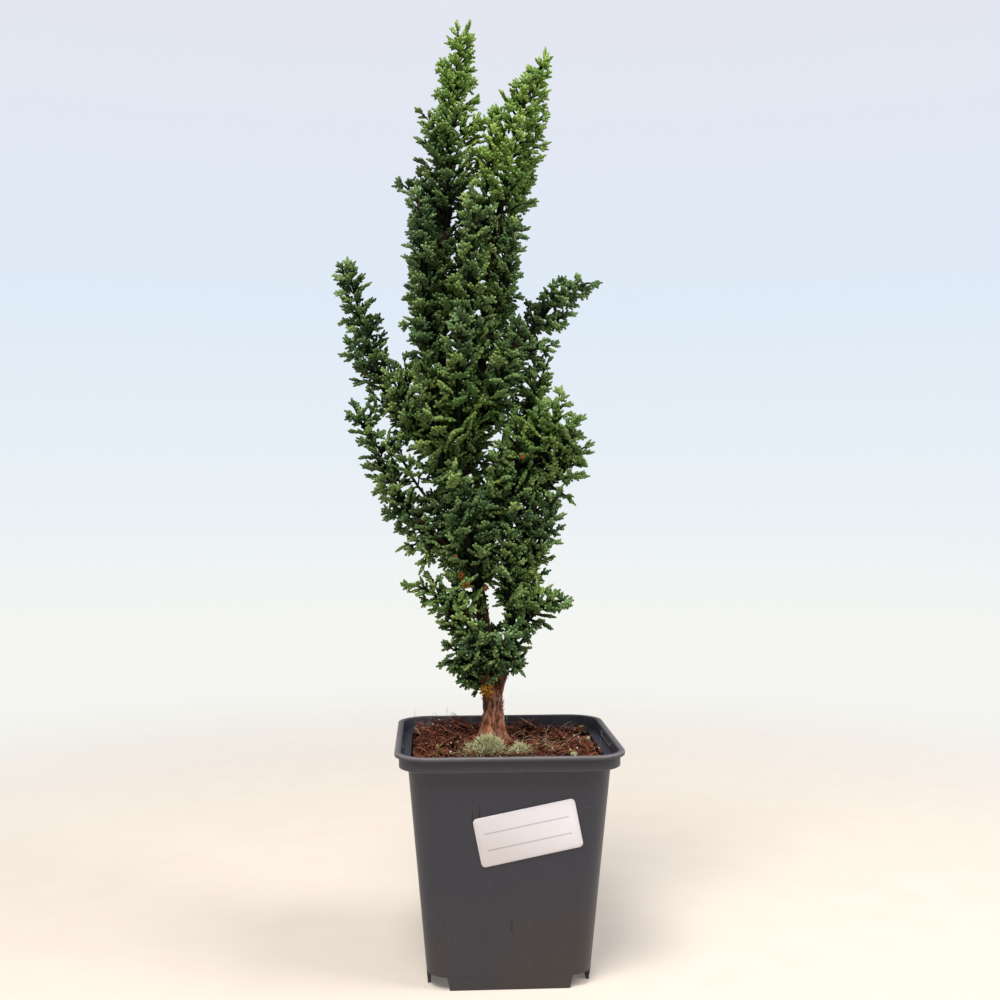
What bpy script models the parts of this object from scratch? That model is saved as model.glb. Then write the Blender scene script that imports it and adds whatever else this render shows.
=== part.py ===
"""Hinoki cypress bonsai in a square plastic nursery pot.

Metres, +Z up. The origin is the middle of the pot's underside, with the pot's front face towards -Y.
The pieces are the pot, its blank label, the soil, the wood (trunk, root flare and limbs in one piece)
and the leafy stems, each with its fan-shaped sprays of foliage grown onto it.
"""

import math
import random
from dataclasses import dataclass

import bmesh
import bpy
from mathutils import Matrix, Vector, noise
from mathutils.bvhtree import BVHTree
from mathutils.geometry import interpolate_bezier

# Pot: a square nursery pot of the common 9 cm size
POT_HEIGHT = 0.093
LIP_WIDTH = 0.090
LIP_THICKNESS = 0.0016
LIP_TOP_WIDTH = 0.0025
LIP_CORNER = 0.014
COLLAR_WIDTH = 0.0865
COLLAR_HEIGHT = 0.006
COLLAR_CORNER = 0.0125
BODY_TOP_WIDTH = 0.0796
BODY_TOP_CORNER = 0.011
BODY_BOTTOM_WIDTH = 0.064
BODY_BOTTOM_CORNER = 0.009
WALL = 0.0012
FLOOR = 0.0015
CORNER_STEPS = 4

# Underside: a raised floor, with a skirt in the middle of each side, open at the corners, and hidden ribs
NOTCH_HEIGHT = 0.0053
SKIRT_HALF_AT_TOP = 0.0246
SKIRT_HALF_AT_GROUND = 0.0234
RIB_THICKNESS = 0.0016
BOSS_RADIUS = 0.006
BOSS_SIDES = 16
HOLE_RADIUS = 0.0030
HOLE_PLACES = (-0.0185, 0.0185)
HOLE_SIDES = 8

# Label on the front face
LABEL_WIDTH = 0.040
LABEL_HEIGHT = 0.0195
LABEL_CORNER = 0.0017
LABEL_THICKNESS = 0.0004
LABEL_CORNER_STEPS = 3
LABEL_CENTRE_X = 0.0065
LABEL_CENTRE_Z = 0.0625
LABEL_TILT = math.radians(11.5)

# Soil
GAP = 0.0003
SOIL_LEVEL = 0.0868
SOIL_HEAP = 0.0035
SOIL_ROUGHNESS = 0.0011
SOIL_LOWEST = SOIL_LEVEL - 3 * SOIL_ROUGHNESS
CRUMB_SIZE = 0.0045
LUMP_SIZE = 0.013
SOIL_SIDES = 32
SOIL_RINGS = 5
MOSS_PLACE = (-0.0065, -0.0085)
MOSS_HEIGHT = 0.0062
MOSS_SPREAD = 0.0050
TRUNK_PLACE = (-0.0050, 0.0030)
TRUNK_RISE = 0.0015
TRUNK_RISE_SPREAD = 0.010

# Wood
ROOT_DEPTH = 0.030
FLARE_RADIUS = 0.0072
FLARE_LOBES = 4
FLARE_LEVEL = SOIL_LEVEL + 0.0035
FOOT_LEVELS = (
    (-ROOT_DEPTH, 0.6 * FLARE_RADIUS, 0.0),
    (-0.0045, 0.9 * FLARE_RADIUS, 0.15),
    (-0.0010, FLARE_RADIUS, 0.22),
)
TRUNK_SIDES = 8
TRUNK_FLUTE = 0.05
LIMB_SIDES = 5

# Foliage: a leafy stem is a slim knobbly core with lobed fans of foliage round it
STEM_STEP = 0.013
STEM_START_PULL = 0.25
STEM_END_PULL = 0.38
CORE_SIDES = 5
CORE_FLUTE = 0.24
CORE_SHARE = 0.46
CORE_START_RADIUS = 0.0012
CORE_END_RADIUS = 0.0008
ROOM_SHARES = (0.75, 0.6, 0.45, 0.3, 0.2)
FAN_THICKNESS = 0.0017
FAN_LOBES = 4
FAN_HALF_ANGLE = math.radians(52)
FAN_ARCH = 0.10
FAN_PITCH = 0.0103
FAN_ROLL = 0.9
FAN_TRIES = 9
FAN_TURN = 0.45
FAN_SHRINK = 0.05
FAN_CLEARANCE = 0.0003
ROOT_SHARE = 0.45
LEAN_AT_BASE = (math.radians(34), math.radians(50))
LEAN_MORE_AT_TIP = math.radians(16)
TIP_LEAN = math.radians(88)
TIP_SPRAY = 0.75
SIZE_DRAW = (0.90, 1.10)
LOBE_DRAW = (0.92, 1.08)
GOLDEN_ANGLE = math.radians(137.5)
SEED = 5


@dataclass(frozen=True)
class Limb:
    """A woody limb: the (x, y, z, radius) places that its middle line runs through."""

    name: str
    places: tuple


@dataclass(frozen=True)
class LeafyStem:
    """A leafy stem: its limb, the height that it leaves at, its tip, its sprays' spread and final rise."""

    name: str
    limb: str
    leaves_at: float
    tip: tuple
    spread: float
    rise: float = 76


@dataclass(frozen=True)
class Spray:
    """A spray: its share up the stem, its turn round it, its length, lean and roll, and its lobes' shares."""

    share: float
    turn: float
    size: float
    lean: float
    roll: float
    draws: list


LIMBS = (
    Limb("trunk", (
        (-0.005, 0.003, 0.097, 0.0043),
        (-0.005, 0.003, 0.110, 0.0041),
        (-0.008, 0.003, 0.129, 0.0030),
        (-0.010, 0.005, 0.148, 0.0027),
        (-0.016, 0.006, 0.172, 0.0025),
        (-0.021, 0.006, 0.195, 0.0023),
        (-0.024, 0.005, 0.222, 0.0020),
        (-0.026, 0.005, 0.252, 0.0017),
        (-0.027, 0.004, 0.280, 0.0015),
        (-0.026, 0.003, 0.303, 0.0012),
    )),
    Limb("limb_leader_right", (
        (-0.021, 0.006, 0.190, 0.0016),
        (-0.015, 0.001, 0.207, 0.0017),
        (-0.011, -0.001, 0.232, 0.0016),
        (-0.008, -0.002, 0.262, 0.0014),
        (-0.006, -0.003, 0.289, 0.0013),
        (-0.003, -0.003, 0.306, 0.0011),
    )),
    Limb("limb_right", (
        (-0.004, 0.003, 0.107, 0.0022),
        (-0.001, 0.001, 0.118, 0.0019),
        (0.001, 0.000, 0.130, 0.0017),
        (0.004, 0.000, 0.148, 0.0016),
        (0.008, -0.001, 0.168, 0.0014),
        (0.012, -0.003, 0.190, 0.0013),
        (0.015, -0.004, 0.204, 0.0011),
    )),
    Limb("limb_left", (
        (-0.006, 0.003, 0.106, 0.0020),
        (-0.010, 0.001, 0.117, 0.0018),
        (-0.015, -0.001, 0.129, 0.0014),
    )),
    Limb("limb_branch_high", (
        (-0.023, 0.005, 0.206, 0.0016),
        (-0.037, 0.008, 0.217, 0.0015),
        (-0.049, 0.009, 0.235, 0.0013),
    )),
    Limb("limb_branch_low", (
        (-0.014, 0.005, 0.165, 0.0016),
        (-0.025, 0.001, 0.172, 0.0015),
        (-0.036, -0.002, 0.183, 0.0012),
    )),
    Limb("limb_branch_right", (
        (-0.011, -0.001, 0.236, 0.0014),
        (-0.003, 0.001, 0.243, 0.0013),
        (0.010, 0.003, 0.260, 0.0011),
    )),
)

LEAFY_STEMS = (
    LeafyStem("leader_left_top", "trunk", 0.303, (-0.018, 0.001, 0.382), 0.0130, 68),
    LeafyStem("leader_left_side", "trunk", 0.285, (-0.041, 0.005, 0.321), 0.0075, 40),
    LeafyStem("leader_left_back", "trunk", 0.297, (-0.026, 0.014, 0.353), 0.0100),
    LeafyStem("leader_right_top", "limb_leader_right", 0.306, (0.014, -0.003, 0.369), 0.0120, 62),
    LeafyStem("leader_right_left", "limb_leader_right", 0.296, (-0.006, -0.010, 0.345), 0.0100),
    LeafyStem("leader_right_back", "limb_leader_right", 0.299, (0.009, 0.009, 0.335), 0.0100),
    LeafyStem("column_left", "trunk", 0.255, (-0.036, -0.007, 0.312), 0.0110),
    LeafyStem("column_left_back", "trunk", 0.262, (-0.036, 0.017, 0.308), 0.0110),
    LeafyStem("column_front", "limb_leader_right", 0.248, (-0.014, -0.015, 0.313), 0.0115),
    LeafyStem("column_back", "trunk", 0.268, (-0.014, 0.019, 0.315), 0.0115),
    LeafyStem("column_right", "limb_leader_right", 0.270, (0.003, -0.009, 0.300), 0.0105),
    LeafyStem("column_right_back", "limb_leader_right", 0.257, (0.001, 0.013, 0.298), 0.0110),
    LeafyStem("middle_left_front", "trunk", 0.196, (-0.034, -0.010, 0.258), 0.0120),
    LeafyStem("middle_front", "limb_leader_right", 0.214, (-0.019, -0.019, 0.264), 0.0120),
    LeafyStem("middle_left_back", "trunk", 0.214, (-0.034, 0.018, 0.262), 0.0120),
    LeafyStem("middle_back", "trunk", 0.206, (-0.014, 0.025, 0.268), 0.0125),
    LeafyStem("middle_right_front", "limb_leader_right", 0.228, (0.005, -0.013, 0.262), 0.0110),
    LeafyStem("middle_right_back", "limb_leader_right", 0.222, (0.007, 0.013, 0.266), 0.0115),
    LeafyStem("branch_left_high", "limb_branch_high", 0.235, (-0.065, 0.010, 0.287), 0.0095, 88),
    LeafyStem("branch_left_high_base", "limb_branch_high", 0.214, (-0.047, -0.004, 0.243), 0.0105),
    LeafyStem("branch_left_low_base", "limb_branch_low", 0.171, (-0.043, -0.006, 0.210), 0.0100),
    LeafyStem("branch_left_low", "limb_branch_low", 0.183, (-0.061, -0.001, 0.228), 0.0100, 82),
    LeafyStem("branch_left_drop", "limb_branch_low", 0.175, (-0.033, -0.005, 0.166), 0.0065, -70),
    LeafyStem("branch_right_high", "limb_branch_right", 0.260, (0.034, 0.001, 0.281), 0.0080, 8),
    LeafyStem("clump_right_top", "limb_right", 0.204, (0.021, -0.009, 0.232), 0.0120),
    LeafyStem("clump_right_side", "limb_right", 0.196, (0.031, -0.004, 0.211), 0.0100, 45),
    LeafyStem("clump_right_back", "limb_right", 0.190, (0.013, 0.008, 0.250), 0.0120),
    LeafyStem("clump_right_inner", "limb_right", 0.178, (0.004, -0.009, 0.222), 0.0115),
    LeafyStem("clump_right_low", "limb_right", 0.165, (0.020, -0.006, 0.190), 0.0095, 70),
    LeafyStem("branch_right_low", "limb_right", 0.138, (0.025, -0.004, 0.151), 0.0080, 8),
    LeafyStem("low_right_back", "limb_right", 0.146, (0.014, 0.009, 0.176), 0.0105),
    LeafyStem("low_right_inner", "limb_right", 0.148, (0.001, -0.009, 0.180), 0.0105),
    LeafyStem("low_front_left", "trunk", 0.152, (-0.020, -0.013, 0.199), 0.0125),
    LeafyStem("low_front_right", "trunk", 0.163, (-0.002, -0.014, 0.213), 0.0120),
    LeafyStem("low_back_left", "trunk", 0.158, (-0.025, 0.020, 0.202), 0.0120),
    LeafyStem("low_back_right", "trunk", 0.168, (-0.002, 0.018, 0.208), 0.0125),
    LeafyStem("branch_left_foot", "limb_left", 0.129, (-0.037, -0.001, 0.155), 0.0085, 15),
    LeafyStem("skirt_front_left", "limb_left", 0.121, (-0.018, -0.011, 0.148), 0.0090),
    LeafyStem("skirt_front", "trunk", 0.118, (-0.005, -0.010, 0.142), 0.0085, 60),
    LeafyStem("skirt_left", "limb_left", 0.114, (-0.023, -0.003, 0.120), 0.0060, -20),
    LeafyStem("skirt_right", "limb_right", 0.121, (0.009, 0.001, 0.134), 0.0080, 40),
    LeafyStem("skirt_back", "trunk", 0.128, (-0.009, 0.015, 0.152), 0.0095),
)

COLOURS = {
    "plastic": ((0.036, 0.037, 0.040), 0.55),
    "paper": ((0.80, 0.77, 0.77), 0.60),
    "soil": ((0.095, 0.035, 0.022), 0.95),
    "bark": ((0.165, 0.065, 0.040), 0.90),
    "foliage": ((0.028, 0.095, 0.022), 0.62),
}


def material(name):
    """The material of that name, made the first time that it is asked for."""
    found = bpy.data.materials.get(name)
    if found:
        return found
    colour, roughness = COLOURS[name]
    made = bpy.data.materials.new(name)
    made.use_nodes = True
    shader = made.node_tree.nodes["Principled BSDF"]
    shader.inputs["Base Color"].default_value = (*colour, 1)
    shader.inputs["Roughness"].default_value = roughness
    shader.inputs["Metallic"].default_value = 0
    return made


def solid(name, points, faces, finish, collection=None):
    """A closed mesh object from points and faces, with its normals turned outwards."""
    mesh = bpy.data.meshes.new(name)
    work = bmesh.new()
    corners = [work.verts.new(p) for p in points]
    for face in faces:
        work.faces.new([corners[i] for i in face])
    bmesh.ops.recalc_face_normals(work, faces=work.faces)
    work.to_mesh(mesh)
    work.free()
    mesh.materials.append(material(finish))
    made = bpy.data.objects.new(name, mesh)
    (collection or bpy.context.scene.collection).objects.link(made)
    return made


def loft(rings):
    """Points and faces of a closed solid whose rings, all of one length, are joined in turn and capped."""
    count = len(rings[0])
    points = [p for ring in rings for p in ring]
    faces = [tuple(range(count)), tuple(range(len(points) - count, len(points)))]
    for level in range(len(rings) - 1):
        low, high = level * count, (level + 1) * count
        for i in range(count):
            following = (i + 1) % count
            faces.append((low + i, low + following, high + following, high + i))
    return points, faces


def rounded_square(width, radius, z, steps=CORNER_STEPS):
    """The outline of a square with round corners at height z, anticlockwise from above."""
    reach = width / 2 - radius
    outline = []
    for quarter in range(4):
        middle = Vector((reach, reach, 0))
        middle.rotate(Matrix.Rotation(quarter * math.pi / 2, 3, "Z"))
        for step in range(steps + 1):
            turn = (quarter + step / steps) * math.pi / 2
            outline.append(middle + Vector((radius * math.cos(turn), radius * math.sin(turn), z)))
    return outline


def body_width(z):
    """Outer width of the tapered pot body at height z."""
    return BODY_BOTTOM_WIDTH + (BODY_TOP_WIDTH - BODY_BOTTOM_WIDTH) * z / (POT_HEIGHT - COLLAR_HEIGHT)


def body_corner(z):
    """Outer corner radius of the pot body at height z."""
    return BODY_BOTTOM_CORNER + (BODY_TOP_CORNER - BODY_BOTTOM_CORNER) * z / (POT_HEIGHT - COLLAR_HEIGHT)


def inner_outline(z, clearance=0.0):
    """Outline inside the pot's body wall at height z, less a clearance."""
    inset = WALL + clearance
    return rounded_square(body_width(z) - 2 * inset, body_corner(z) - inset, z)


def apply_modifiers(target):
    """Puts the evaluated mesh in place of the object's own, and clears its modifiers."""
    bpy.context.view_layer.update()
    graph = bpy.context.evaluated_depsgraph_get()
    mesh = bpy.data.meshes.new_from_object(target.evaluated_get(graph))
    target.modifiers.clear()
    target.data = mesh


def boolean(target, operand, operation):
    """Cuts or joins one object with another object or a collection, then removes what it used."""
    modifier = target.modifiers.new(operation.lower(), "BOOLEAN")
    modifier.operation = operation
    modifier.solver = "MANIFOLD"
    if isinstance(operand, bpy.types.Collection):
        modifier.operand_type = "COLLECTION"
        modifier.collection = operand
        used = list(operand.objects)
    else:
        modifier.object = operand
        used = [operand]
    apply_modifiers(target)
    for piece in used:
        bpy.data.objects.remove(piece)


def corner_block(side_x, side_y):
    """A square block below one corner of the pot, whose inner faces lean like the ends of the skirts."""
    slope = (SKIRT_HALF_AT_TOP - SKIRT_HALF_AT_GROUND) / NOTCH_HEIGHT
    outer = LIP_WIDTH
    rings = []
    for z in (-NOTCH_HEIGHT, NOTCH_HEIGHT):
        inner = SKIRT_HALF_AT_GROUND + slope * z
        square = ((inner, inner), (outer, inner), (outer, outer), (inner, outer))
        rings.append([Vector((side_x * x, side_y * y, z)) for x, y in square])
    return loft(rings)


def cylinder(x, y, radius, low, high, sides):
    """Points and faces of an upright cylinder."""
    rings = []
    for z in (low, high):
        turns = [i * math.tau / sides for i in range(sides)]
        rings.append([Vector((x + radius * math.cos(t), y + radius * math.sin(t), z)) for t in turns])
    return loft(rings)


def box(half_x, half_y, low, high):
    """Points and faces of a box that stands on the middle of the floor."""
    corners = ((half_x, half_y), (-half_x, half_y), (-half_x, -half_y), (half_x, -half_y))
    return loft([[Vector((x, y, z)) for x, y in corners] for z in (low, high)])


def make_pot():
    """The pot: tapered body with a collar and lip, and its raised, drained floor between low skirts."""
    collar_foot = POT_HEIGHT - COLLAR_HEIGHT
    lip_foot = POT_HEIGHT - LIP_THICKNESS
    outside = loft([
        rounded_square(BODY_BOTTOM_WIDTH, BODY_BOTTOM_CORNER, 0),
        rounded_square(BODY_TOP_WIDTH, BODY_TOP_CORNER, collar_foot),
        rounded_square(COLLAR_WIDTH, COLLAR_CORNER, collar_foot),
        rounded_square(COLLAR_WIDTH, COLLAR_CORNER, lip_foot),
        rounded_square(LIP_WIDTH, LIP_CORNER, lip_foot),
        rounded_square(LIP_WIDTH, LIP_CORNER, POT_HEIGHT),
    ])
    pot = solid("pot", *outside, "plastic")
    mouth = LIP_WIDTH - 2 * LIP_TOP_WIDTH
    mouth_corner = LIP_CORNER - LIP_TOP_WIDTH
    ledge = collar_foot + WALL
    inside = loft([
        inner_outline(NOTCH_HEIGHT + FLOOR),
        inner_outline(ledge),
        rounded_square(COLLAR_WIDTH - 2 * WALL, COLLAR_CORNER - WALL, ledge),
        rounded_square(mouth, mouth_corner, POT_HEIGHT + WALL),
    ])
    cutters = [inside, loft([inner_outline(-NOTCH_HEIGHT), inner_outline(NOTCH_HEIGHT)])]
    cutters += [corner_block(x, y) for x in (-1, 1) for y in (-1, 1)]
    for cutter in cutters:
        boolean(pot, solid("cutter", *cutter, "plastic"), "DIFFERENCE")
    under = NOTCH_HEIGHT + FLOOR / 2
    reach = BODY_BOTTOM_WIDTH / 2 - WALL / 2
    for half_x, half_y in ((reach, RIB_THICKNESS / 2), (RIB_THICKNESS / 2, reach)):
        boolean(pot, solid("rib", *box(half_x, half_y, 0, under), "plastic"), "UNION")
    boolean(pot, solid("boss", *cylinder(0, 0, BOSS_RADIUS, 0, under, BOSS_SIDES), "plastic"), "UNION")
    for x in HOLE_PLACES:
        for y in HOLE_PLACES:
            drain = cylinder(x, y, HOLE_RADIUS, 0, 2 * NOTCH_HEIGHT, HOLE_SIDES)
            boolean(pot, solid("drain", *drain, "plastic"), "DIFFERENCE")


def make_label():
    """The blank label, lying on the front face of the pot, which leans out towards the top."""
    lean = math.atan((BODY_TOP_WIDTH - BODY_BOTTOM_WIDTH) / 2 / (POT_HEIGHT - COLLAR_HEIGHT))
    face = -body_width(LABEL_CENTRE_Z) / 2
    across, up = LABEL_WIDTH / 2 - LABEL_CORNER, LABEL_HEIGHT / 2 - LABEL_CORNER
    outline = []
    for quarter, (side_x, side_y) in enumerate(((1, 1), (-1, 1), (-1, -1), (1, -1))):
        for step in range(LABEL_CORNER_STEPS + 1):
            turn = (quarter + step / LABEL_CORNER_STEPS) * math.pi / 2
            x = side_x * across + LABEL_CORNER * math.cos(turn)
            outline.append((x, side_y * up + LABEL_CORNER * math.sin(turn)))
    rings = [[Vector((x, y, z)) for x, y in outline] for z in (GAP / 2, GAP / 2 + LABEL_THICKNESS)]
    label = solid("label", *loft(rings), "paper")
    stand = Matrix.Rotation(math.pi / 2 + lean, 4, "X") @ Matrix.Rotation(LABEL_TILT, 4, "Z")
    label.matrix_world = Matrix.Translation((LABEL_CENTRE_X, face, LABEL_CENTRE_Z)) @ stand


def bump(x, y, place, height, spread):
    """A round mound of that height and spread at a place."""
    return height * math.exp(-((x - place[0]) ** 2 + (y - place[1]) ** 2) / (2 * spread**2))


def soil_height(x, y):
    """Height of the soil's surface: heaped at the back left and the trunk, with a moss mound and crumbs."""
    half = BODY_TOP_WIDTH / 2
    heap = SOIL_HEAP * max(0.0, (y - x) / half / 2 + 0.15)
    crumbs = SOIL_ROUGHNESS * noise.noise(Vector((x, y, 0)) / CRUMB_SIZE)
    lumps = 2 * SOIL_ROUGHNESS * noise.noise(Vector((x, y, 0.5)) / LUMP_SIZE)
    moss = bump(x, y, MOSS_PLACE, MOSS_HEIGHT, MOSS_SPREAD)
    rise = bump(x, y, TRUNK_PLACE, TRUNK_RISE, TRUNK_RISE_SPREAD)
    return SOIL_LEVEL + heap + crumbs + lumps + moss + rise


def spread_evenly(outline, count):
    """The same closed outline with count points at even steps along it."""
    closed = outline + outline[:1]
    lengths = [0.0]
    for a, b in zip(closed, closed[1:]):
        lengths.append(lengths[-1] + (b - a).length)
    points = []
    span = 0
    for i in range(count):
        at = lengths[-1] * i / count
        while lengths[span + 1] < at:
            span += 1
        share = (at - lengths[span]) / (lengths[span + 1] - lengths[span])
        points.append(closed[span].lerp(closed[span + 1], share))
    return points


def make_soil():
    """The soil: it fills the pot, with an uneven top and a plain hole for the trunk's foot."""
    edge = spread_evenly(inner_outline(SOIL_LOWEST, GAP), SOIL_SIDES)
    rings = [spread_evenly(inner_outline(NOTCH_HEIGHT + FLOOR + GAP, GAP), SOIL_SIDES)]
    for level in range(SOIL_RINGS):
        share = 1 - level / SOIL_RINGS
        places = [(point.x * share, point.y * share) for point in edge]
        rings.append([Vector((x, y, soil_height(x, y))) for x, y in places])
    points, faces = loft(rings)
    soil = solid("soil", points, faces, "soil")
    boolean(soil, solid("hole", *foot_hole(), "soil"), "DIFFERENCE")


def frame_along(points, first=None):
    """A (tangent, side, other side) frame at each point of a path, with as little turning as can be."""
    tangents = []
    for i in range(len(points)):
        tangents.append((points[min(i + 1, len(points) - 1)] - points[max(i - 1, 0)]).normalized())
    tangents[0] = first or tangents[0]
    side = tangents[0].orthogonal().normalized()
    frames = []
    for tangent in tangents:
        side = (side - tangent * side.dot(tangent)).normalized()
        frames.append((tangent, side, tangent.cross(side)))
    return frames


def tube(points, radii, sides, flute=0.0, first=None):
    """Points and faces of a capped tube along a path, every other corner standing out by the flute."""
    rings = []
    for i, (point, radius, (_, side, other)) in enumerate(zip(points, radii, frame_along(points, first))):
        ring = []
        for k in range(sides):
            turn = math.tau * (k + 0.5 * (i % 2) * (flute > 0)) / sides
            reach = radius * (1 + flute * (-1) ** k)
            ring.append(point + reach * (side * math.cos(turn) + other * math.sin(turn)))
        rings.append(ring)
    corners, faces = loft(rings)
    halves = [half for face in faces[2:] for half in (face[:3], (face[0], face[2], face[3]))]
    return corners, faces[:2] + halves


def foot_ring(above, radius, lobe, swell=0.0):
    """A lobed ring round the trunk's foot, at a height above the flare's level."""
    x, y = TRUNK_PLACE
    ring = []
    for k in range(TRUNK_SIDES * 2):
        turn = math.tau * k / (TRUNK_SIDES * 2)
        reach = radius * (1 + lobe * math.cos(FLARE_LOBES * turn + 0.6)) + swell
        ring.append(Vector((x + reach * math.cos(turn), y + reach * math.sin(turn), FLARE_LEVEL + above)))
    return ring


def trunk_foot():
    """The trunk's foot: a stub in the soil that widens to a lobed root flare at the surface."""
    trunk_radius = LIMBS[0].places[0][3]
    above_flare = ((0.0025, 0.76 * FLARE_RADIUS, 0.16), (0.0070, trunk_radius, 0.08))
    top = (0.0140, 0.94 * trunk_radius, 0.0)
    return loft([foot_ring(*level) for level in (*FOOT_LEVELS, *above_flare, top)])


def foot_hole():
    """The plain hole in the soil round the trunk's foot, open to the top at the flare's full width."""
    bottom, *others = FOOT_LEVELS
    rings = [foot_ring(bottom[0] - GAP, *bottom[1:], GAP)] + [foot_ring(*level, GAP) for level in others]
    return loft(rings + [[point + Vector((0, 0, ROOT_DEPTH)) for point in rings[-1]]])


def between(p, q, r, s, t):
    """The value at a share t of the way from q to r, on the smooth curve through all four."""
    square = 2 * p - 5 * q + 4 * r - s
    cube = 3 * q - p - 3 * r + s
    return 0.5 * (2 * q + (r - p) * t + square * t**2 + cube * t**3)


def smooth_line(places, per_span=2):
    """Points and radii on the smooth curve through the places of a limb."""
    padded = (places[0],) + places + (places[-1],)
    line = []
    for four in zip(padded, padded[1:], padded[2:], padded[3:]):
        for step in range(per_span):
            line.append([between(*values, step / per_span) for values in zip(*four)])
    line.append(list(places[-1]))
    return [Vector(p[:3]) for p in line], [p[3] for p in line]


def limb_line(name):
    """The smooth middle line and radii of the limb of that name."""
    return smooth_line(next(limb.places for limb in LIMBS if limb.name == name))


def start_of(stem):
    """Where a leafy stem starts, a gap away from its limb's bark or end, and the way that it leaves."""
    points, radii = limb_line(stem.limb)
    if stem.leaves_at >= points[-1].z:
        way = (points[-1] - points[-2]).normalized()
        return points[-1] + way * GAP, way
    above = next(i for i, point in enumerate(points) if point.z > stem.leaves_at)
    low, high = points[above - 1], points[above]
    share = (stem.leaves_at - low.z) / (high.z - low.z)
    start = low.lerp(high, share)
    radius = radii[above - 1] + (radii[above] - radii[above - 1]) * share
    tangent = (high - low).normalized()
    away = Vector(stem.tip) - start
    way = (away - tangent * away.dot(tangent)).normalized()
    return start + way * (radius + GAP), way


def make_wood():
    """The trunk with its root flare and its limbs, all one piece of wood."""
    parts = bpy.data.collections.new("wood parts")
    bpy.context.scene.collection.children.link(parts)
    for limb in LIMBS[1:]:
        points, radii = smooth_line(limb.places, 1)
        solid(limb.name, *tube(points, radii, LIMB_SIDES), "bark", parts)
    solid("foot", *trunk_foot(), "bark", parts)
    points, radii = smooth_line(LIMBS[0].places)
    wood = solid("wood", *tube(points, radii, TRUNK_SIDES, TRUNK_FLUTE), "bark")
    boolean(wood, parts, "UNION")
    bpy.data.collections.remove(parts)
    return wood


def stem_line(stem):
    """The middle line of a leafy stem: it leaves the wood sideways and turns up towards its tip."""
    first, way = start_of(stem)
    tip = Vector(stem.tip)
    span = (tip - first).length
    flat = Vector((tip.x - first.x, tip.y - first.y, 0))
    flat = flat.normalized() if flat.length > 1e-6 else Vector((0, 0, 0))
    rise = math.radians(stem.rise)
    finish = (flat * math.cos(rise) + Vector((0, 0, math.sin(rise)))).normalized()
    leaving = first + way * span * STEM_START_PULL
    arriving = tip - finish * span * STEM_END_PULL
    return interpolate_bezier(first, leaving, arriving, tip, max(5, round(span / STEM_STEP)))


def core_radius(stem, share):
    """The wished radius of a leafy stem's core, which is fattest a third of the way up."""
    fat = CORE_SHARE * stem.spread
    thin = CORE_START_RADIUS + (CORE_END_RADIUS - CORE_START_RADIUS) * share
    return thin + (fat - thin) * math.sin(math.pi * share**0.7) ** 0.8


def crosses_itself(points, faces):
    """True if two faces of a shape that share no corner pass through each other."""
    tree = BVHTree.FromPolygons(points, faces)
    return any(not set(faces[i]) & set(faces[j]) for i, j in tree.overlap(tree))


def make_core(stem, thicket):
    """The slim core of a leafy stem, no fatter than there is room for, and its radii from base to tip."""
    points = stem_line(stem)
    wished = [core_radius(stem, i / (len(points) - 1)) for i in range(len(points))]
    room = [thicket.room(point) for point in points]
    for share in ROOM_SHARES:
        slimmer = share / ROOM_SHARES[0]
        radii = [min(slimmer * wish, share * free) for wish, free in zip(wished, room)]
        radii = [CORE_START_RADIUS] + [max(CORE_END_RADIUS / 2, radius) for radius in radii[1:]]
        shape = tube(points, radii, CORE_SIDES, CORE_FLUTE, start_of(stem)[1])
        if not thicket.touches(*shape, stem.name) and not crosses_itself(*shape):
            break
    thicket.add(stem.name, *shape)
    return solid(stem.name, *shape, "foliage"), radii


def fan(length, swell, draws):
    """Points and faces of a spray: a fan of chunky lobes, from its root along +X, with its face to +Z."""
    half_angle = FAN_HALF_ANGLE + swell / length
    spread = [half_angle * (2 * i / (FAN_LOBES - 1) - 1) for i in range(FAN_LOBES)]
    reach = [length * (1 - 0.26 * (abs(a) / half_angle) ** 1.6) * d for a, d in zip(spread, draws)]

    def place(angle, distance, height):
        rise = FAN_ARCH * distance**2 / length
        return Vector((distance * math.cos(angle), distance * math.sin(angle), rise + height))

    half = FAN_THICKNESS / 2 + swell
    points = [place(0, 0.45 * length, half * 1.15), place(0, 0.45 * length, -half * 1.15)]
    points += [place(0, 0, half), place(0, 0, -half)]
    top, bottom, root_top, root_bottom = range(4)
    tips = []
    for angle, distance in zip(spread, reach):
        tips.append((len(points), len(points) + 1))
        points += [place(angle, distance, half * 0.9), place(angle, distance, -half * 0.9)]
    notches = []
    for i in range(FAN_LOBES - 1):
        notches.append(len(points))
        deep = 0.68 * (reach[i] + reach[i + 1]) / 2
        points.append(place((spread[i] + spread[i + 1]) / 2, deep, 0))
    faces = []
    for (high, low), turn in ((tips[0], 1), (tips[-1], -1)):
        faces += [(top, root_top, high)[::turn], (bottom, low, root_bottom)[::turn]]
        faces += [(root_top, root_bottom, low)[::turn], (root_top, low, high)[::turn]]
    for i, notch in enumerate(notches):
        for (high, low), turn in ((tips[i], 1), (tips[i + 1], -1)):
            faces += [(top, high, notch)[::turn], (bottom, notch, low)[::turn], (high, low, notch)[::turn]]
    return points, faces


def moved(points, place, along, across):
    """The points turned so that +X lies along a direction and +Y across it, and set at a place."""
    normal = along.cross(across).normalized()
    across = normal.cross(along)
    return [place + along * p.x + across * p.y + normal * p.z for p in points]


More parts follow.
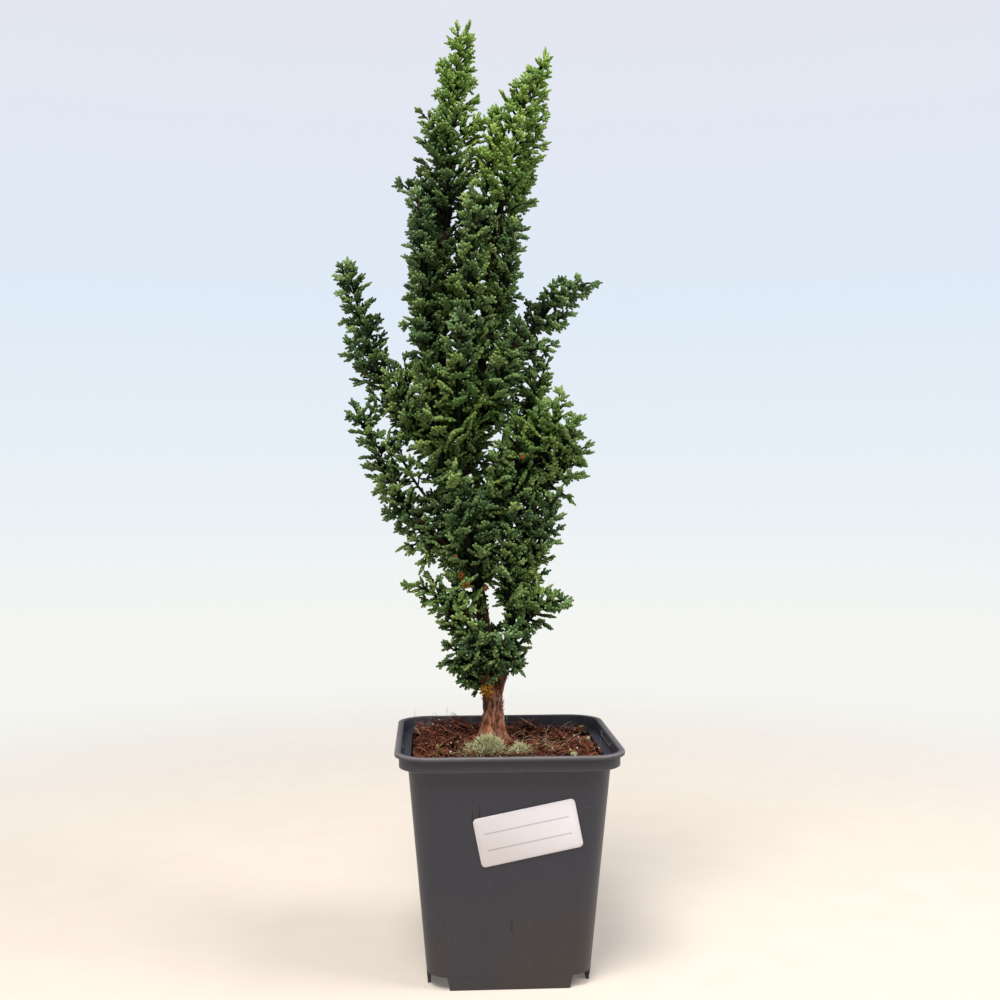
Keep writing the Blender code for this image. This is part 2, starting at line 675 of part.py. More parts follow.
class Thicket:
    """What already stands in the tree, so that a new spray can be kept clear of it."""

    def __init__(self):
        self.standing = []

    def add(self, owner, points, faces):
        """Notes a solid that belongs to one owner."""
        middle = sum(points, Vector()) / len(points)
        reach = max((p - middle).length for p in points)
        self.standing.append((owner, middle, reach, BVHTree.FromPolygons(points, faces)))

    def room(self, point):
        """How far a point is from the nearest solid that stands here."""
        return min((tree.find_nearest(point)[3] for *_, tree in self.standing), default=1.0)

    def touches(self, points, faces, own):
        """True if a shape meets anything that stands here, apart from the stem that it grows on."""
        middle = sum(points, Vector()) / len(points)
        reach = max((p - middle).length for p in points)
        shape = BVHTree.FromPolygons(points, faces)
        for owner, centre, radius, other in self.standing:
            near = (centre - middle).length < radius + reach
            if near and owner != own and shape.overlap(other):
                return True
        return False


def world_mesh(made):
    """World points and faces of an object."""
    points = [made.matrix_world @ v.co for v in made.data.vertices]
    return points, [tuple(p.vertices) for p in made.data.polygons]


def point_on(points, share):
    """The point and the tangent at a share of the way along a path."""
    at = share * (len(points) - 1)
    i = min(int(at), len(points) - 2)
    return points[i].lerp(points[i + 1], at - i), (points[i + 1] - points[i]).normalized()


def value_on(values, share):
    """The value at a share of the way along a list."""
    at = share * (len(values) - 1)
    i = min(int(at), len(values) - 2)
    return values[i] + (values[i + 1] - values[i]) * (at - i)


def sprays_of(stem, rng):
    """The sprays of a leafy stem: one at its tip, then others up it, each a golden angle further round."""
    points = stem_line(stem)
    length = sum((b - a).length for a, b in zip(points, points[1:]))
    count = max(4, round(length / FAN_PITCH))
    turn = rng.uniform(0, math.tau)
    draws = [rng.uniform(*LOBE_DRAW) for _ in range(FAN_LOBES)]
    yield Spray(1.0, 0.0, TIP_SPRAY * stem.spread, TIP_LEAN, rng.uniform(-FAN_ROLL, FAN_ROLL), draws)
    for i in range(count):
        share = 0.06 + 0.88 * i / (count - 1)
        turn += GOLDEN_ANGLE
        taper = (1.60 - 0.75 * share**2) * (0.8 + 0.2 * min(1, share / 0.3))
        size = stem.spread * taper * rng.uniform(*SIZE_DRAW)
        lean = rng.uniform(*LEAN_AT_BASE) + LEAN_MORE_AT_TIP * share
        draws = [rng.uniform(*LOBE_DRAW) for _ in range(FAN_LOBES)]
        yield Spray(share, turn, size, lean, rng.uniform(-FAN_ROLL, FAN_ROLL), draws)


def spray_shape(points, radii, spray, attempt, swell):
    """A spray's points and faces, turned and shortened a little more with each attempt, and swollen."""
    axis, tangent = point_on(points, spray.share)
    side = tangent.orthogonal().normalized()
    here = spray.turn + (attempt + 1) // 2 * (-1) ** attempt * FAN_TURN
    radial = side * math.cos(here) + tangent.cross(side) * math.sin(here)
    along = radial * math.cos(spray.lean) + tangent * math.sin(spray.lean)
    across = Matrix.Rotation(spray.roll, 3, along) @ tangent.cross(radial)
    sunk = value_on(radii, spray.share)
    root = axis - tangent * sunk if spray.share == 1 else axis + radial * ROOT_SHARE * sunk
    corners, faces = fan(spray.size * (1 - FAN_SHRINK * attempt) + 2 * swell, swell, spray.draws)
    return moved(corners, root, along, across), faces


def grow_sprays(stem, radii, thicket, rng):
    """The sprays of one leafy stem, each turned or shortened until it is clear of its neighbours."""
    sprays = bpy.data.collections.new("sprays of " + stem.name)
    bpy.context.scene.collection.children.link(sprays)
    points = stem_line(stem)
    for spray in sprays_of(stem, rng):
        for attempt in range(FAN_TRIES):
            swollen = spray_shape(points, radii, spray, attempt, FAN_CLEARANCE)
            if not thicket.touches(*swollen, stem.name):
                shape = spray_shape(points, radii, spray, attempt, 0.0)
                thicket.add(stem.name, *shape)
                solid("spray", *shape, "foliage", sprays)
                break
    return sprays


def make_foliage(wood):
    """Every leafy stem, with its sprays joined to its core in one piece."""
    rng = random.Random(SEED)
    thicket = Thicket()
    thicket.add("wood", *world_mesh(wood))
    cores = {stem: make_core(stem, thicket) for stem in LEAFY_STEMS}
    for stem, (core, radii) in cores.items():
        sprays = grow_sprays(stem, radii, thicket, rng)
        boolean(core, sprays, "UNION")
        bpy.data.collections.remove(sprays)


def main():
    """Clears the scene and models every piece."""
    for old in list(bpy.data.objects):
        bpy.data.objects.remove(old)
    make_pot()
    make_label()
    make_soil()
    wood = make_wood()
    make_foliage(wood)


main()
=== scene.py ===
"""Dresses the hinoki cypress bonsai in its square nursery pot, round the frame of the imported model."""
import logging
import math
from dataclasses import dataclass, field
from enum import Enum

import bpy
import numpy as np
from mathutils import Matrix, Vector


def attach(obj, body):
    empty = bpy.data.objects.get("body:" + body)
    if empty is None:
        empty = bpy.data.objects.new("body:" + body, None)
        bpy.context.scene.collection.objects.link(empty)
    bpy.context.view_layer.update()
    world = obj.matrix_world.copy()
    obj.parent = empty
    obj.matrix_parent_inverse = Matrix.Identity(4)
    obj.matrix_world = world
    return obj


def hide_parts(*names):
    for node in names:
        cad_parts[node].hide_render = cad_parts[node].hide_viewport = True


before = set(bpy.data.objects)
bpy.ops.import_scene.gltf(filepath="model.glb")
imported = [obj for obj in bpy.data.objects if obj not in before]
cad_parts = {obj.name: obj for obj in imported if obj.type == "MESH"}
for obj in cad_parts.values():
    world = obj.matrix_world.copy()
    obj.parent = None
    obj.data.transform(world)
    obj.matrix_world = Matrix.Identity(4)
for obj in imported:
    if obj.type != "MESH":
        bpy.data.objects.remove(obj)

log = logging.getLogger("bonsai")

GOLDEN_ANGLE = math.radians(137.5)
UP = np.array((0, 0, 1.0))


# Surfaces as arrays
@dataclass
class Shape:
    """A surface held as arrays: its points, its faces by number of corners, and named values per point."""

    points: np.ndarray
    faces: list[np.ndarray]
    values: dict[str, np.ndarray] = field(default_factory=dict)


def joined(shapes: list[Shape]) -> Shape:
    """Several surfaces as one.

    Args:
        shapes: the surfaces, all of them with the same named values.

    Returns:
        One surface that holds them all.
    """
    starts = np.cumsum([0] + [len(shape.points) for shape in shapes[:-1]])
    faces = [block + start for shape, start in zip(shapes, starts) for block in shape.faces]
    names = shapes[0].values
    values = {name: np.concatenate([shape.values[name] for shape in shapes]) for name in names}
    return Shape(np.concatenate([shape.points for shape in shapes]), faces, values)


def unit(vectors: np.ndarray) -> np.ndarray:
    """The vectors at length one."""
    return vectors / np.maximum(np.linalg.norm(vectors, axis=-1, keepdims=True), 1e-12)


def square_to(ways: np.ndarray) -> np.ndarray:
    """Unit vectors square to the given ones."""
    return unit(np.cross(ways, (0.31, 0.87, 0.12)))


def turns(sides: int) -> np.ndarray:
    """The angles of a ring's corners, evenly round one turn."""
    return np.arange(sides) * math.tau / sides


def circle(sides: int) -> np.ndarray:
    """Points on a flat circle of radius one, as sides by three."""
    turn = turns(sides)
    return np.stack([np.cos(turn), np.sin(turn), 0 * turn], -1)


def quarter_turn(times: int) -> np.ndarray:
    """The matrix that turns rows of points anticlockwise by so many quarters, seen from above."""
    cosine, sine = round(math.cos(times * math.pi / 2)), round(math.sin(times * math.pi / 2))
    return np.array(((cosine, sine, 0), (-sine, cosine, 0), (0, 0, 1)))


def bell(x: np.ndarray, y: np.ndarray, place: tuple, reach: float) -> np.ndarray:
    """A bell curve: e to the power of minus half the square of the distance from a place over its reach."""
    return np.exp(-((x - place[0]) ** 2 + (y - place[1]) ** 2) / (2 * reach**2))


def near(values: np.ndarray, middle: float, reach: float) -> np.ndarray:
    """1 at a middle value, falling evenly to 0 at a reach from it."""
    return np.clip(1 - np.abs(values - middle) / reach, 0, 1)


def tube_faces(count: int, rows: int, sides: int) -> list[np.ndarray]:
    """Faces of count capped tubes, each of rows rings with sides corners.

    Args:
        count: how many tubes.
        rows: rings in a tube.
        sides: corners in a ring.

    Returns:
        The four-cornered sides, then the caps.
    """
    row = np.arange(rows - 1)[:, None]
    corner = np.arange(sides)[None, :]
    after = (corner + 1) % sides
    low, high = row * sides, (row + 1) * sides
    quads = np.stack([low + corner, low + after, high + after, high + corner], -1).reshape(-1, 4)
    caps = np.stack([np.arange(sides)[::-1], (rows - 1) * sides + np.arange(sides)])
    starts = (np.arange(count) * rows * sides)[:, None, None]
    return [(quads + starts).reshape(-1, 4), (caps + starts).reshape(-1, sides)]


def sweep(paths: np.ndarray, reach: np.ndarray, side: np.ndarray, sides: int, **values) -> Shape:
    """Capped tubes along many paths at once.

    In row r of a path, corner k stands at path(r) + reach(r, k) * (cos(a) * side + sin(a) * other). There a
    is k turns over sides, side is held square to the path, and other is square to both.

    Args:
        paths: points of the paths, as paths by rows by three.
        reach: distance from path to corner, in any shape that spreads to paths by rows by sides.
        side: the way to each path's first corner, as paths by three.
        sides: corners in a ring.
        values: named numbers, in any shape that spreads to paths by rows by sides.

    Returns:
        The tubes as one surface.
    """
    count, rows, _ = paths.shape
    way = unit(np.gradient(paths, axis=1))
    level = unit(side[:, None, :] - way * (side[:, None, :] * way).sum(-1, keepdims=True))
    other = np.cross(way, level)
    turn = turns(sides)
    ring = np.cos(turn)[:, None] * level[:, :, None, :] + np.sin(turn)[:, None] * other[:, :, None, :]
    full = (count, rows, sides)
    points = paths[:, :, None, :] + np.broadcast_to(reach, full)[..., None] * ring
    spread = {name: np.broadcast_to(value, full).reshape(-1) for name, value in values.items()}
    return Shape(points.reshape(-1, 3), tube_faces(count, rows, sides), spread)


def waves(points: np.ndarray, size: float, seed: int, stretch: tuple = (1, 1, 1)) -> np.ndarray:
    """A smooth random height at each point: a sum of 24 sine waves of about one length, in random directions.

    Args:
        points: where to work it out, as any shape by three.
        size: about how far it is from crest to crest.
        seed: picks the directions and the phases.
        stretch: how much longer the waves are along each axis.

    Returns:
        A height near -1 to 1 for each point.
    """
    rng = np.random.default_rng(seed)
    directions = unit(rng.normal(size=(24, 3))) * rng.uniform(0.6, 1.5, (24, 1)) * math.tau / size
    phases = rng.uniform(0, math.tau, 24)
    return np.sin((points / np.array(stretch)) @ directions.T + phases).sum(-1) / 5


def smooth_line(places: tuple, per_span: int) -> np.ndarray:
    """The Catmull-Rom curve through the places of a limb.

    Args:
        places: rows of x, y, z and radius.
        per_span: points from one place to the next.

    Returns:
        Rows of x, y, z and radius along the curve.
    """
    padded = np.array((places[0],) + places + (places[-1],))
    p, q, r, s = padded[:-3], padded[1:-2], padded[2:-1], padded[3:]
    t = (np.arange(per_span) / per_span)[None, :, None]
    square = (2 * p - 5 * q + 4 * r - s)[:, None]
    cube = (3 * q - p - 3 * r + s)[:, None]
    line = 0.5 * (2 * q[:, None] + (r - p)[:, None] * t + square * t**2 + cube * t**3)
    return np.concatenate([line.reshape(-1, 4), padded[-1:]])


def put_in_scene(name: str, shape: Shape, material: bpy.types.Material) -> bpy.types.Object:
    """Makes an object at the origin from a surface.

    Args:
        name: the object's name.
        shape: the surface.
        material: its finish.

    Returns:
        The new object.
    """
    mesh = bpy.data.meshes.new(name)
    corners = np.concatenate([block.reshape(-1) for block in shape.faces]).astype(np.int32)
    sizes = np.concatenate([np.full(len(block), block.shape[1]) for block in shape.faces])
    mesh.vertices.add(len(shape.points))
    mesh.vertices.foreach_set("co", shape.points.astype(np.float32).reshape(-1))
    mesh.loops.add(len(corners))
    mesh.loops.foreach_set("vertex_index", corners)
    mesh.polygons.add(len(sizes))
    mesh.polygons.foreach_set("loop_start", np.concatenate(([0], np.cumsum(sizes)[:-1])).astype(np.int32))
    mesh.polygons.foreach_set("use_smooth", np.ones(len(sizes), dtype=bool))
    mesh.update(calc_edges=True)
    for value_name, values in shape.values.items():
        attribute = mesh.attributes.new(value_name, "FLOAT", "POINT")
        attribute.data.foreach_set("value", values.astype(np.float32))
    mesh.validate()
    mesh.materials.append(material)
    made = bpy.data.objects.new(name, mesh)
    bpy.context.scene.collection.objects.link(made)
    log.info("%s: %d points, %d faces", name, len(shape.points), len(sizes))
    return made


class Slot(Enum):
    """Names for material slots."""

    PLASTIC = "plastic"
    PAPER = "paper"
    SOIL = "soil"
    BARK = "bark"
    FOLIAGE = "foliage"


def add_piece(name: str, shape: Shape, material: bpy.types.Material, node: str = "") -> None:
    """Puts a piece of the object into the scene under the root, and hides the node of the model that it
    stands for.

    Args:
        name: the piece's name.
        shape: its surface.
        material: its finish.
        node: the node of the model that it stands for, if there is one.
    """
    made = put_in_scene(name, shape, material)
    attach(made, "root")
    if node:
        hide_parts(node)


# Shader maths
class Wire:
    """A socket of a node, so that maths on it reads as plain sums."""

    def __init__(self, nodes: "Nodes", socket: bpy.types.NodeSocket) -> None:
        """Holds a socket and the nodes that it belongs to."""
        self.nodes = nodes
        self.socket = socket

    def maths(self, operation: str, *others, first: object = None) -> "Wire":
        """A Math node on this wire and others.

        Args:
            operation: the node's operation.
            others: the wires or numbers after this one.
            first: what stands before this wire, if anything does.

        Returns:
            The node's result.
        """
        terms = [self, *others] if first is None else [first, self, *others]
        return self.nodes.node("ShaderNodeMath", {"operation": operation}, dict(enumerate(terms)))

    def __add__(self, other: object) -> "Wire":
        """The sum of the two."""
        return self.maths("ADD", other)

    __radd__ = __add__

    def __sub__(self, other: object) -> "Wire":
        """This less the other."""
        return self.maths("SUBTRACT", other)

    def __rsub__(self, other: object) -> "Wire":
        """The other less this."""
        return self.maths("SUBTRACT", first=other)

    def __mul__(self, other: object) -> "Wire":
        """The product of the two."""
        return self.maths("MULTIPLY", other)

    __rmul__ = __mul__

    def __pow__(self, other: object) -> "Wire":
        """This to the power of the other."""
        return self.maths("POWER", other)

    def clipped(self) -> "Wire":
        """This, held between 0 and 1."""
        return self.maths("MAXIMUM", 0.0).maths("MINIMUM", 1.0)

    def between(self, low: float, high: float) -> "Wire":
        """A smooth step from 0 to 1.

        Args:
            low: where the step is 0.
            high: where it is 1, which may be less than low.

        Returns:
            The step.
        """
        if low > high:
            return 1 - self.between(high, low)
        ends = {0: self, 1: low, 2: high, 3: 0.0, 4: 1.0}
        return self.nodes.node("ShaderNodeMapRange", {"interpolation_type": "SMOOTHSTEP"}, ends)


Colour = tuple[float, float, float]


class Nodes:
    """The nodes of a material or of the world."""

    def __init__(self, tree: bpy.types.NodeTree) -> None:
        """Holds the tree that the nodes go into."""
        self.tree = tree

    def node(
        self, kind: str, settings: dict | None = None, inputs: dict | None = None, output: int = 0,
    ) -> Wire:
        """Adds a node.

        Args:
            kind: the node's type.
            settings: what is set on the node first; stops are the positions and colours of a ramp.
            inputs: wires or values for its sockets, by name or place.
            output: which output to give back.

        Returns:
            That output.
        """
        made = self.tree.nodes.new(kind)
        for key, value in (settings or {}).items():
            if key == "stops":
                for i, (at, colour) in enumerate(value):
                    stop = made.color_ramp.elements[i] if i < 2 else made.color_ramp.elements.new(at)
                    stop.position = at
                    stop.color = (*colour, 1)
            else:
                setattr(made, key, value)
        for key, value in (inputs or {}).items():
            self.feed(made.inputs[key], value)
        return Wire(self, made.outputs[output])

    def feed(self, socket: bpy.types.NodeSocket, value: object) -> None:
        """Links a wire to a socket, or sets a value or a colour on it.

        Args:
            socket: the socket.
            value: the wire, number, vector or colour for it.
        """
        if isinstance(value, Wire):
            self.tree.links.new(value.socket, socket)
        elif isinstance(value, tuple) and len(value) == 3 and socket.type == "RGBA":
            socket.default_value = (*value, 1)
        else:
            socket.default_value = value


class Recipe(Nodes):
    """A material in the making, with one Principled shader."""

    def __init__(self, name: str) -> None:
        """Starts an empty material of that name.

        Args:
            name: the material's name.
        """
        self.material = bpy.data.materials.new(name)
        self.material.use_nodes = True
        super().__init__(self.material.node_tree)
        self.shader = self.tree.nodes["Principled BSDF"]

    def place(self) -> Wire:
        """Object coordinates."""
        return self.node("ShaderNodeTexCoord", output=3)

    def value(self, name: str) -> Wire:
        """A named value of the piece's points."""
        return self.node("ShaderNodeAttribute", {"attribute_name": name}, output=2)

    def axis(self, place: Wire, which: int) -> Wire:
        """One of the three parts of a vector: 0, 1 or 2."""
        return self.node("ShaderNodeSeparateXYZ", inputs={0: place}, output=which)

    def stretched(self, place: Wire, scale: Colour) -> Wire:
        """A place with each of its axes multiplied."""
        return self.node("ShaderNodeMapping", inputs={0: place, 3: scale})

    def noise(self, place: Wire, scale: float, detail: float = 3.0, rough: float = 0.55) -> Wire:
        """A noise from 0 to 1, whose grains are about one over scale metres."""
        return self.node("ShaderNodeTexNoise", None, {0: place, 2: scale, 3: detail, 4: rough})

    def mix(self, share: object, low: object, high: object) -> Wire:
        """A colour between two, by a share."""
        return self.node("ShaderNodeMix", {"data_type": "RGBA"}, {0: share, 6: low, 7: high}, output=2)

    def finished(
        self, colour: object, rough: object, bump: Wire | None = None, depth: float = 0.0, shine: float = 0.5,
    ) -> bpy.types.Material:
        """Feeds the shader.

        Args:
            colour: the base colour, as a wire or three numbers.
            rough: the roughness, as a wire or a number.
            bump: the height of the fine relief, if it has any.
            depth: that relief's full height in metres.
            shine: the level of its mirror-like reflection.

        Returns:
            The material.
        """
        self.feed(self.shader.inputs["Base Color"], colour)
        self.feed(self.shader.inputs["Roughness"], rough)
        self.feed(self.shader.inputs["Specular IOR Level"], shine)
        if bump is not None:
            relief = self.node("ShaderNodeBump", None, {"Strength": 1.0, "Distance": depth, "Height": bump})
            self.feed(self.shader.inputs["Normal"], relief)
        return self.material


# The tree's lines, as the model has them
@dataclass(frozen=True)
class Limb:
    """A limb of the wood: its name, and the places on its middle line as x, y, z and radius."""

    name: str
    places: tuple


@dataclass(frozen=True)
class LeafyStem:
    """A stem with leaves, named as its node.

    It leaves its limb at a height, and rises to its tip at so many degrees. Its fronds reach out as far as
    its spread, times its fullness, and less by its point as they near the tip.
    """

    name: str
    limb: str
    leaves_at: float
    tip: tuple
    spread: float
    rise: float = 76.0
    full: float = 1.0
    point: float = 0.25


LIMBS = (
    Limb("trunk", (
        (-0.005, 0.003, 0.097, 0.0043),
        (-0.005, 0.003, 0.110, 0.0041),
        (-0.008, 0.003, 0.129, 0.0030),
        (-0.010, 0.005, 0.148, 0.0027),
        (-0.016, 0.006, 0.172, 0.0025),
        (-0.021, 0.006, 0.195, 0.0023),
        (-0.024, 0.005, 0.222, 0.0020),
        (-0.026, 0.005, 0.252, 0.0017),
        (-0.0262, 0.004, 0.280, 0.0015),
        (-0.0245, 0.003, 0.303, 0.0012),
    )),
    Limb("limb_leader_right", (
        (-0.021, 0.006, 0.190, 0.0016),
        (-0.015, 0.001, 0.207, 0.0017),
        (-0.011, -0.001, 0.232, 0.0016),
        (-0.008, -0.002, 0.262, 0.0014),
        (-0.006, -0.003, 0.289, 0.0013),
        (-0.003, -0.003, 0.306, 0.0011),
    )),
    Limb("limb_right", (
        (-0.004, 0.003, 0.107, 0.0022),
        (-0.001, 0.001, 0.118, 0.0019),
        (0.001, 0.000, 0.130, 0.0017),
        (0.004, 0.000, 0.148, 0.0016),
        (0.008, -0.001, 0.168, 0.0014),
        (0.012, -0.003, 0.190, 0.0013),
        (0.015, -0.004, 0.204, 0.0011),
    )),
    Limb("limb_left", (
        (-0.006, 0.003, 0.106, 0.0020),
        (-0.010, 0.001, 0.117, 0.0018),
        (-0.015, -0.001, 0.129, 0.0014),
    )),
    Limb("limb_branch_high", (
        (-0.023, 0.005, 0.206, 0.0016),
        (-0.037, 0.008, 0.217, 0.0015),
        (-0.049, 0.009, 0.235, 0.0013),
    )),
    Limb("limb_branch_low", (
        (-0.014, 0.005, 0.165, 0.0016),
        (-0.025, 0.001, 0.172, 0.0015),
        (-0.036, -0.002, 0.183, 0.0012),
    )),
    Limb("limb_branch_right", (
        (-0.011, -0.001, 0.236, 0.0014),
        (-0.003, 0.001, 0.243, 0.0013),
        (0.010, 0.003, 0.260, 0.0011),
    )),
)

def line_of(limb_name: str, per_span: int) -> np.ndarray:
    """The smooth middle line of the limb of that name, as rows of x, y, z and radius."""
    return smooth_line(next(limb.places for limb in LIMBS if limb.name == limb_name), per_span)


LEAFY_STEMS = (
    LeafyStem("leader_left_top", "trunk", 0.303, (-0.0168, 0.001, 0.382), 0.0130, 76, 1.24, 0.52),
    LeafyStem("leader_left_side", "trunk", 0.285, (-0.041, 0.005, 0.321), 0.0075, 40),
    LeafyStem("leader_left_back", "trunk", 0.297, (-0.026, 0.014, 0.353), 0.0100),
    LeafyStem("leader_right_top", "limb_leader_right", 0.306, (0.014, -0.003, 0.369), 0.0120, 62, 1.34, 0.48),
    LeafyStem("leader_right_left", "limb_leader_right", 0.296, (-0.006, -0.010, 0.345), 0.0100, 76, 0.82),
    LeafyStem("leader_right_back", "limb_leader_right", 0.299, (0.009, 0.009, 0.335), 0.0100),
    LeafyStem("column_left", "trunk", 0.255, (-0.036, -0.007, 0.312), 0.0110),
    LeafyStem("column_left_back", "trunk", 0.262, (-0.036, 0.017, 0.308), 0.0110),
    LeafyStem("column_front", "limb_leader_right", 0.248, (-0.014, -0.015, 0.313), 0.0115),
    LeafyStem("column_back", "trunk", 0.268, (-0.014, 0.019, 0.315), 0.0115),
    LeafyStem("column_right", "limb_leader_right", 0.270, (0.003, -0.009, 0.300), 0.0105),
    LeafyStem("column_right_back", "limb_leader_right", 0.257, (0.001, 0.013, 0.298), 0.0110),
    LeafyStem("middle_left_front", "trunk", 0.196, (-0.034, -0.010, 0.258), 0.0120),
    LeafyStem("middle_front", "limb_leader_right", 0.214, (-0.019, -0.019, 0.264), 0.0120),
    LeafyStem("middle_left_back", "trunk", 0.214, (-0.034, 0.018, 0.262), 0.0120),
    LeafyStem("middle_back", "trunk", 0.206, (-0.014, 0.025, 0.268), 0.0125),
    LeafyStem("middle_right_front", "limb_leader_right", 0.228, (0.005, -0.013, 0.262), 0.0110),
    LeafyStem("middle_right_back", "limb_leader_right", 0.222, (0.007, 0.013, 0.266), 0.0115),
    LeafyStem("branch_left_high", "limb_branch_high", 0.235, (-0.065, 0.010, 0.286), 0.0095, 76, 1.22, 0.10),
    LeafyStem("branch_left_high_base", "limb_branch_high", 0.214, (-0.047, -0.004, 0.243), 0.0105),
    LeafyStem("branch_left_low_base", "limb_branch_low", 0.171, (-0.043, -0.006, 0.210), 0.0100, 76, 0.85),
    LeafyStem("branch_left_low", "limb_branch_low", 0.183, (-0.061, -0.001, 0.226), 0.0100, 66, 1.0, 0.15),
    LeafyStem("branch_left_drop", "limb_branch_low", 0.175, (-0.033, -0.005, 0.166), 0.0065, -70),
    LeafyStem("branch_right_high", "limb_branch_right", 0.260, (0.034, 0.001, 0.281), 0.0080, 8, 1.34, 0.35),
    LeafyStem("clump_right_top", "limb_right", 0.204, (0.021, -0.009, 0.230), 0.0120, 76, 1.02),
    LeafyStem("clump_right_side", "limb_right", 0.196, (0.031, -0.004, 0.211), 0.0100, 45, 1.12),
    LeafyStem("clump_right_back", "limb_right", 0.190, (0.013, 0.008, 0.250), 0.0120, 76, 0.92),
    LeafyStem("clump_right_inner", "limb_right", 0.178, (0.004, -0.009, 0.222), 0.0115, 76, 1.10),
    LeafyStem("clump_right_low", "limb_right", 0.165, (0.020, -0.006, 0.190), 0.0095, 70, 1.0),
    LeafyStem("branch_right_low", "limb_right", 0.138, (0.0228, -0.004, 0.1490), 0.0080, 2, 1.15, -0.10),
    LeafyStem("low_right_back", "limb_right", 0.146, (0.014, 0.009, 0.176), 0.0105, 76, 0.88),
    LeafyStem("low_right_inner", "limb_right", 0.148, (0.001, -0.009, 0.180), 0.0105),
    LeafyStem("low_front_left", "trunk", 0.152, (-0.020, -0.013, 0.199), 0.0125, 76, 1.10),
    LeafyStem("low_front_right", "trunk", 0.163, (-0.002, -0.014, 0.213), 0.0120),
    LeafyStem("low_back_left", "trunk", 0.158, (-0.025, 0.020, 0.202), 0.0120),
    LeafyStem("low_back_right", "trunk", 0.168, (-0.002, 0.018, 0.208), 0.0125),
    LeafyStem("branch_left_foot", "limb_left", 0.129, (-0.037, -0.001, 0.155), 0.0085, 15),
    LeafyStem("skirt_front_left", "limb_left", 0.121, (-0.018, -0.011, 0.148), 0.0090),
    LeafyStem("skirt_front", "trunk", 0.118, (-0.0085, -0.010, 0.140), 0.0085, 60),
    LeafyStem("skirt_left", "limb_left", 0.114, (-0.023, -0.003, 0.124), 0.0060, -12),
    LeafyStem("skirt_right", "limb_right", 0.121, (0.009, 0.001, 0.134), 0.0080, 40, 0.85),
    LeafyStem("skirt_back", "trunk", 0.128, (-0.009, 0.015, 0.152), 0.0095),
)


@dataclass(frozen=True)
class Shoots:
    """Small leafy shoots right on a limb, between two heights."""

    limb: str
    low: float
    high: float
    spread: float


SHOOTS = (
    Shoots("trunk", 0.146, 0.300, 0.0105),
    Shoots("limb_leader_right", 0.192, 0.300, 0.0098),
    Shoots("limb_right", 0.136, 0.202, 0.0092),
    Shoots("limb_branch_high", 0.207, 0.235, 0.0094),
    Shoots("limb_branch_low", 0.166, 0.183, 0.0092),
    Shoots("limb_branch_right", 0.238, 0.261, 0.0080),
)


@dataclass(frozen=True)
class SideShoot:
    """A small leafy shoot on a stem: where it starts, its tip and its spread."""

    start: tuple
    tip: tuple
    spread: float


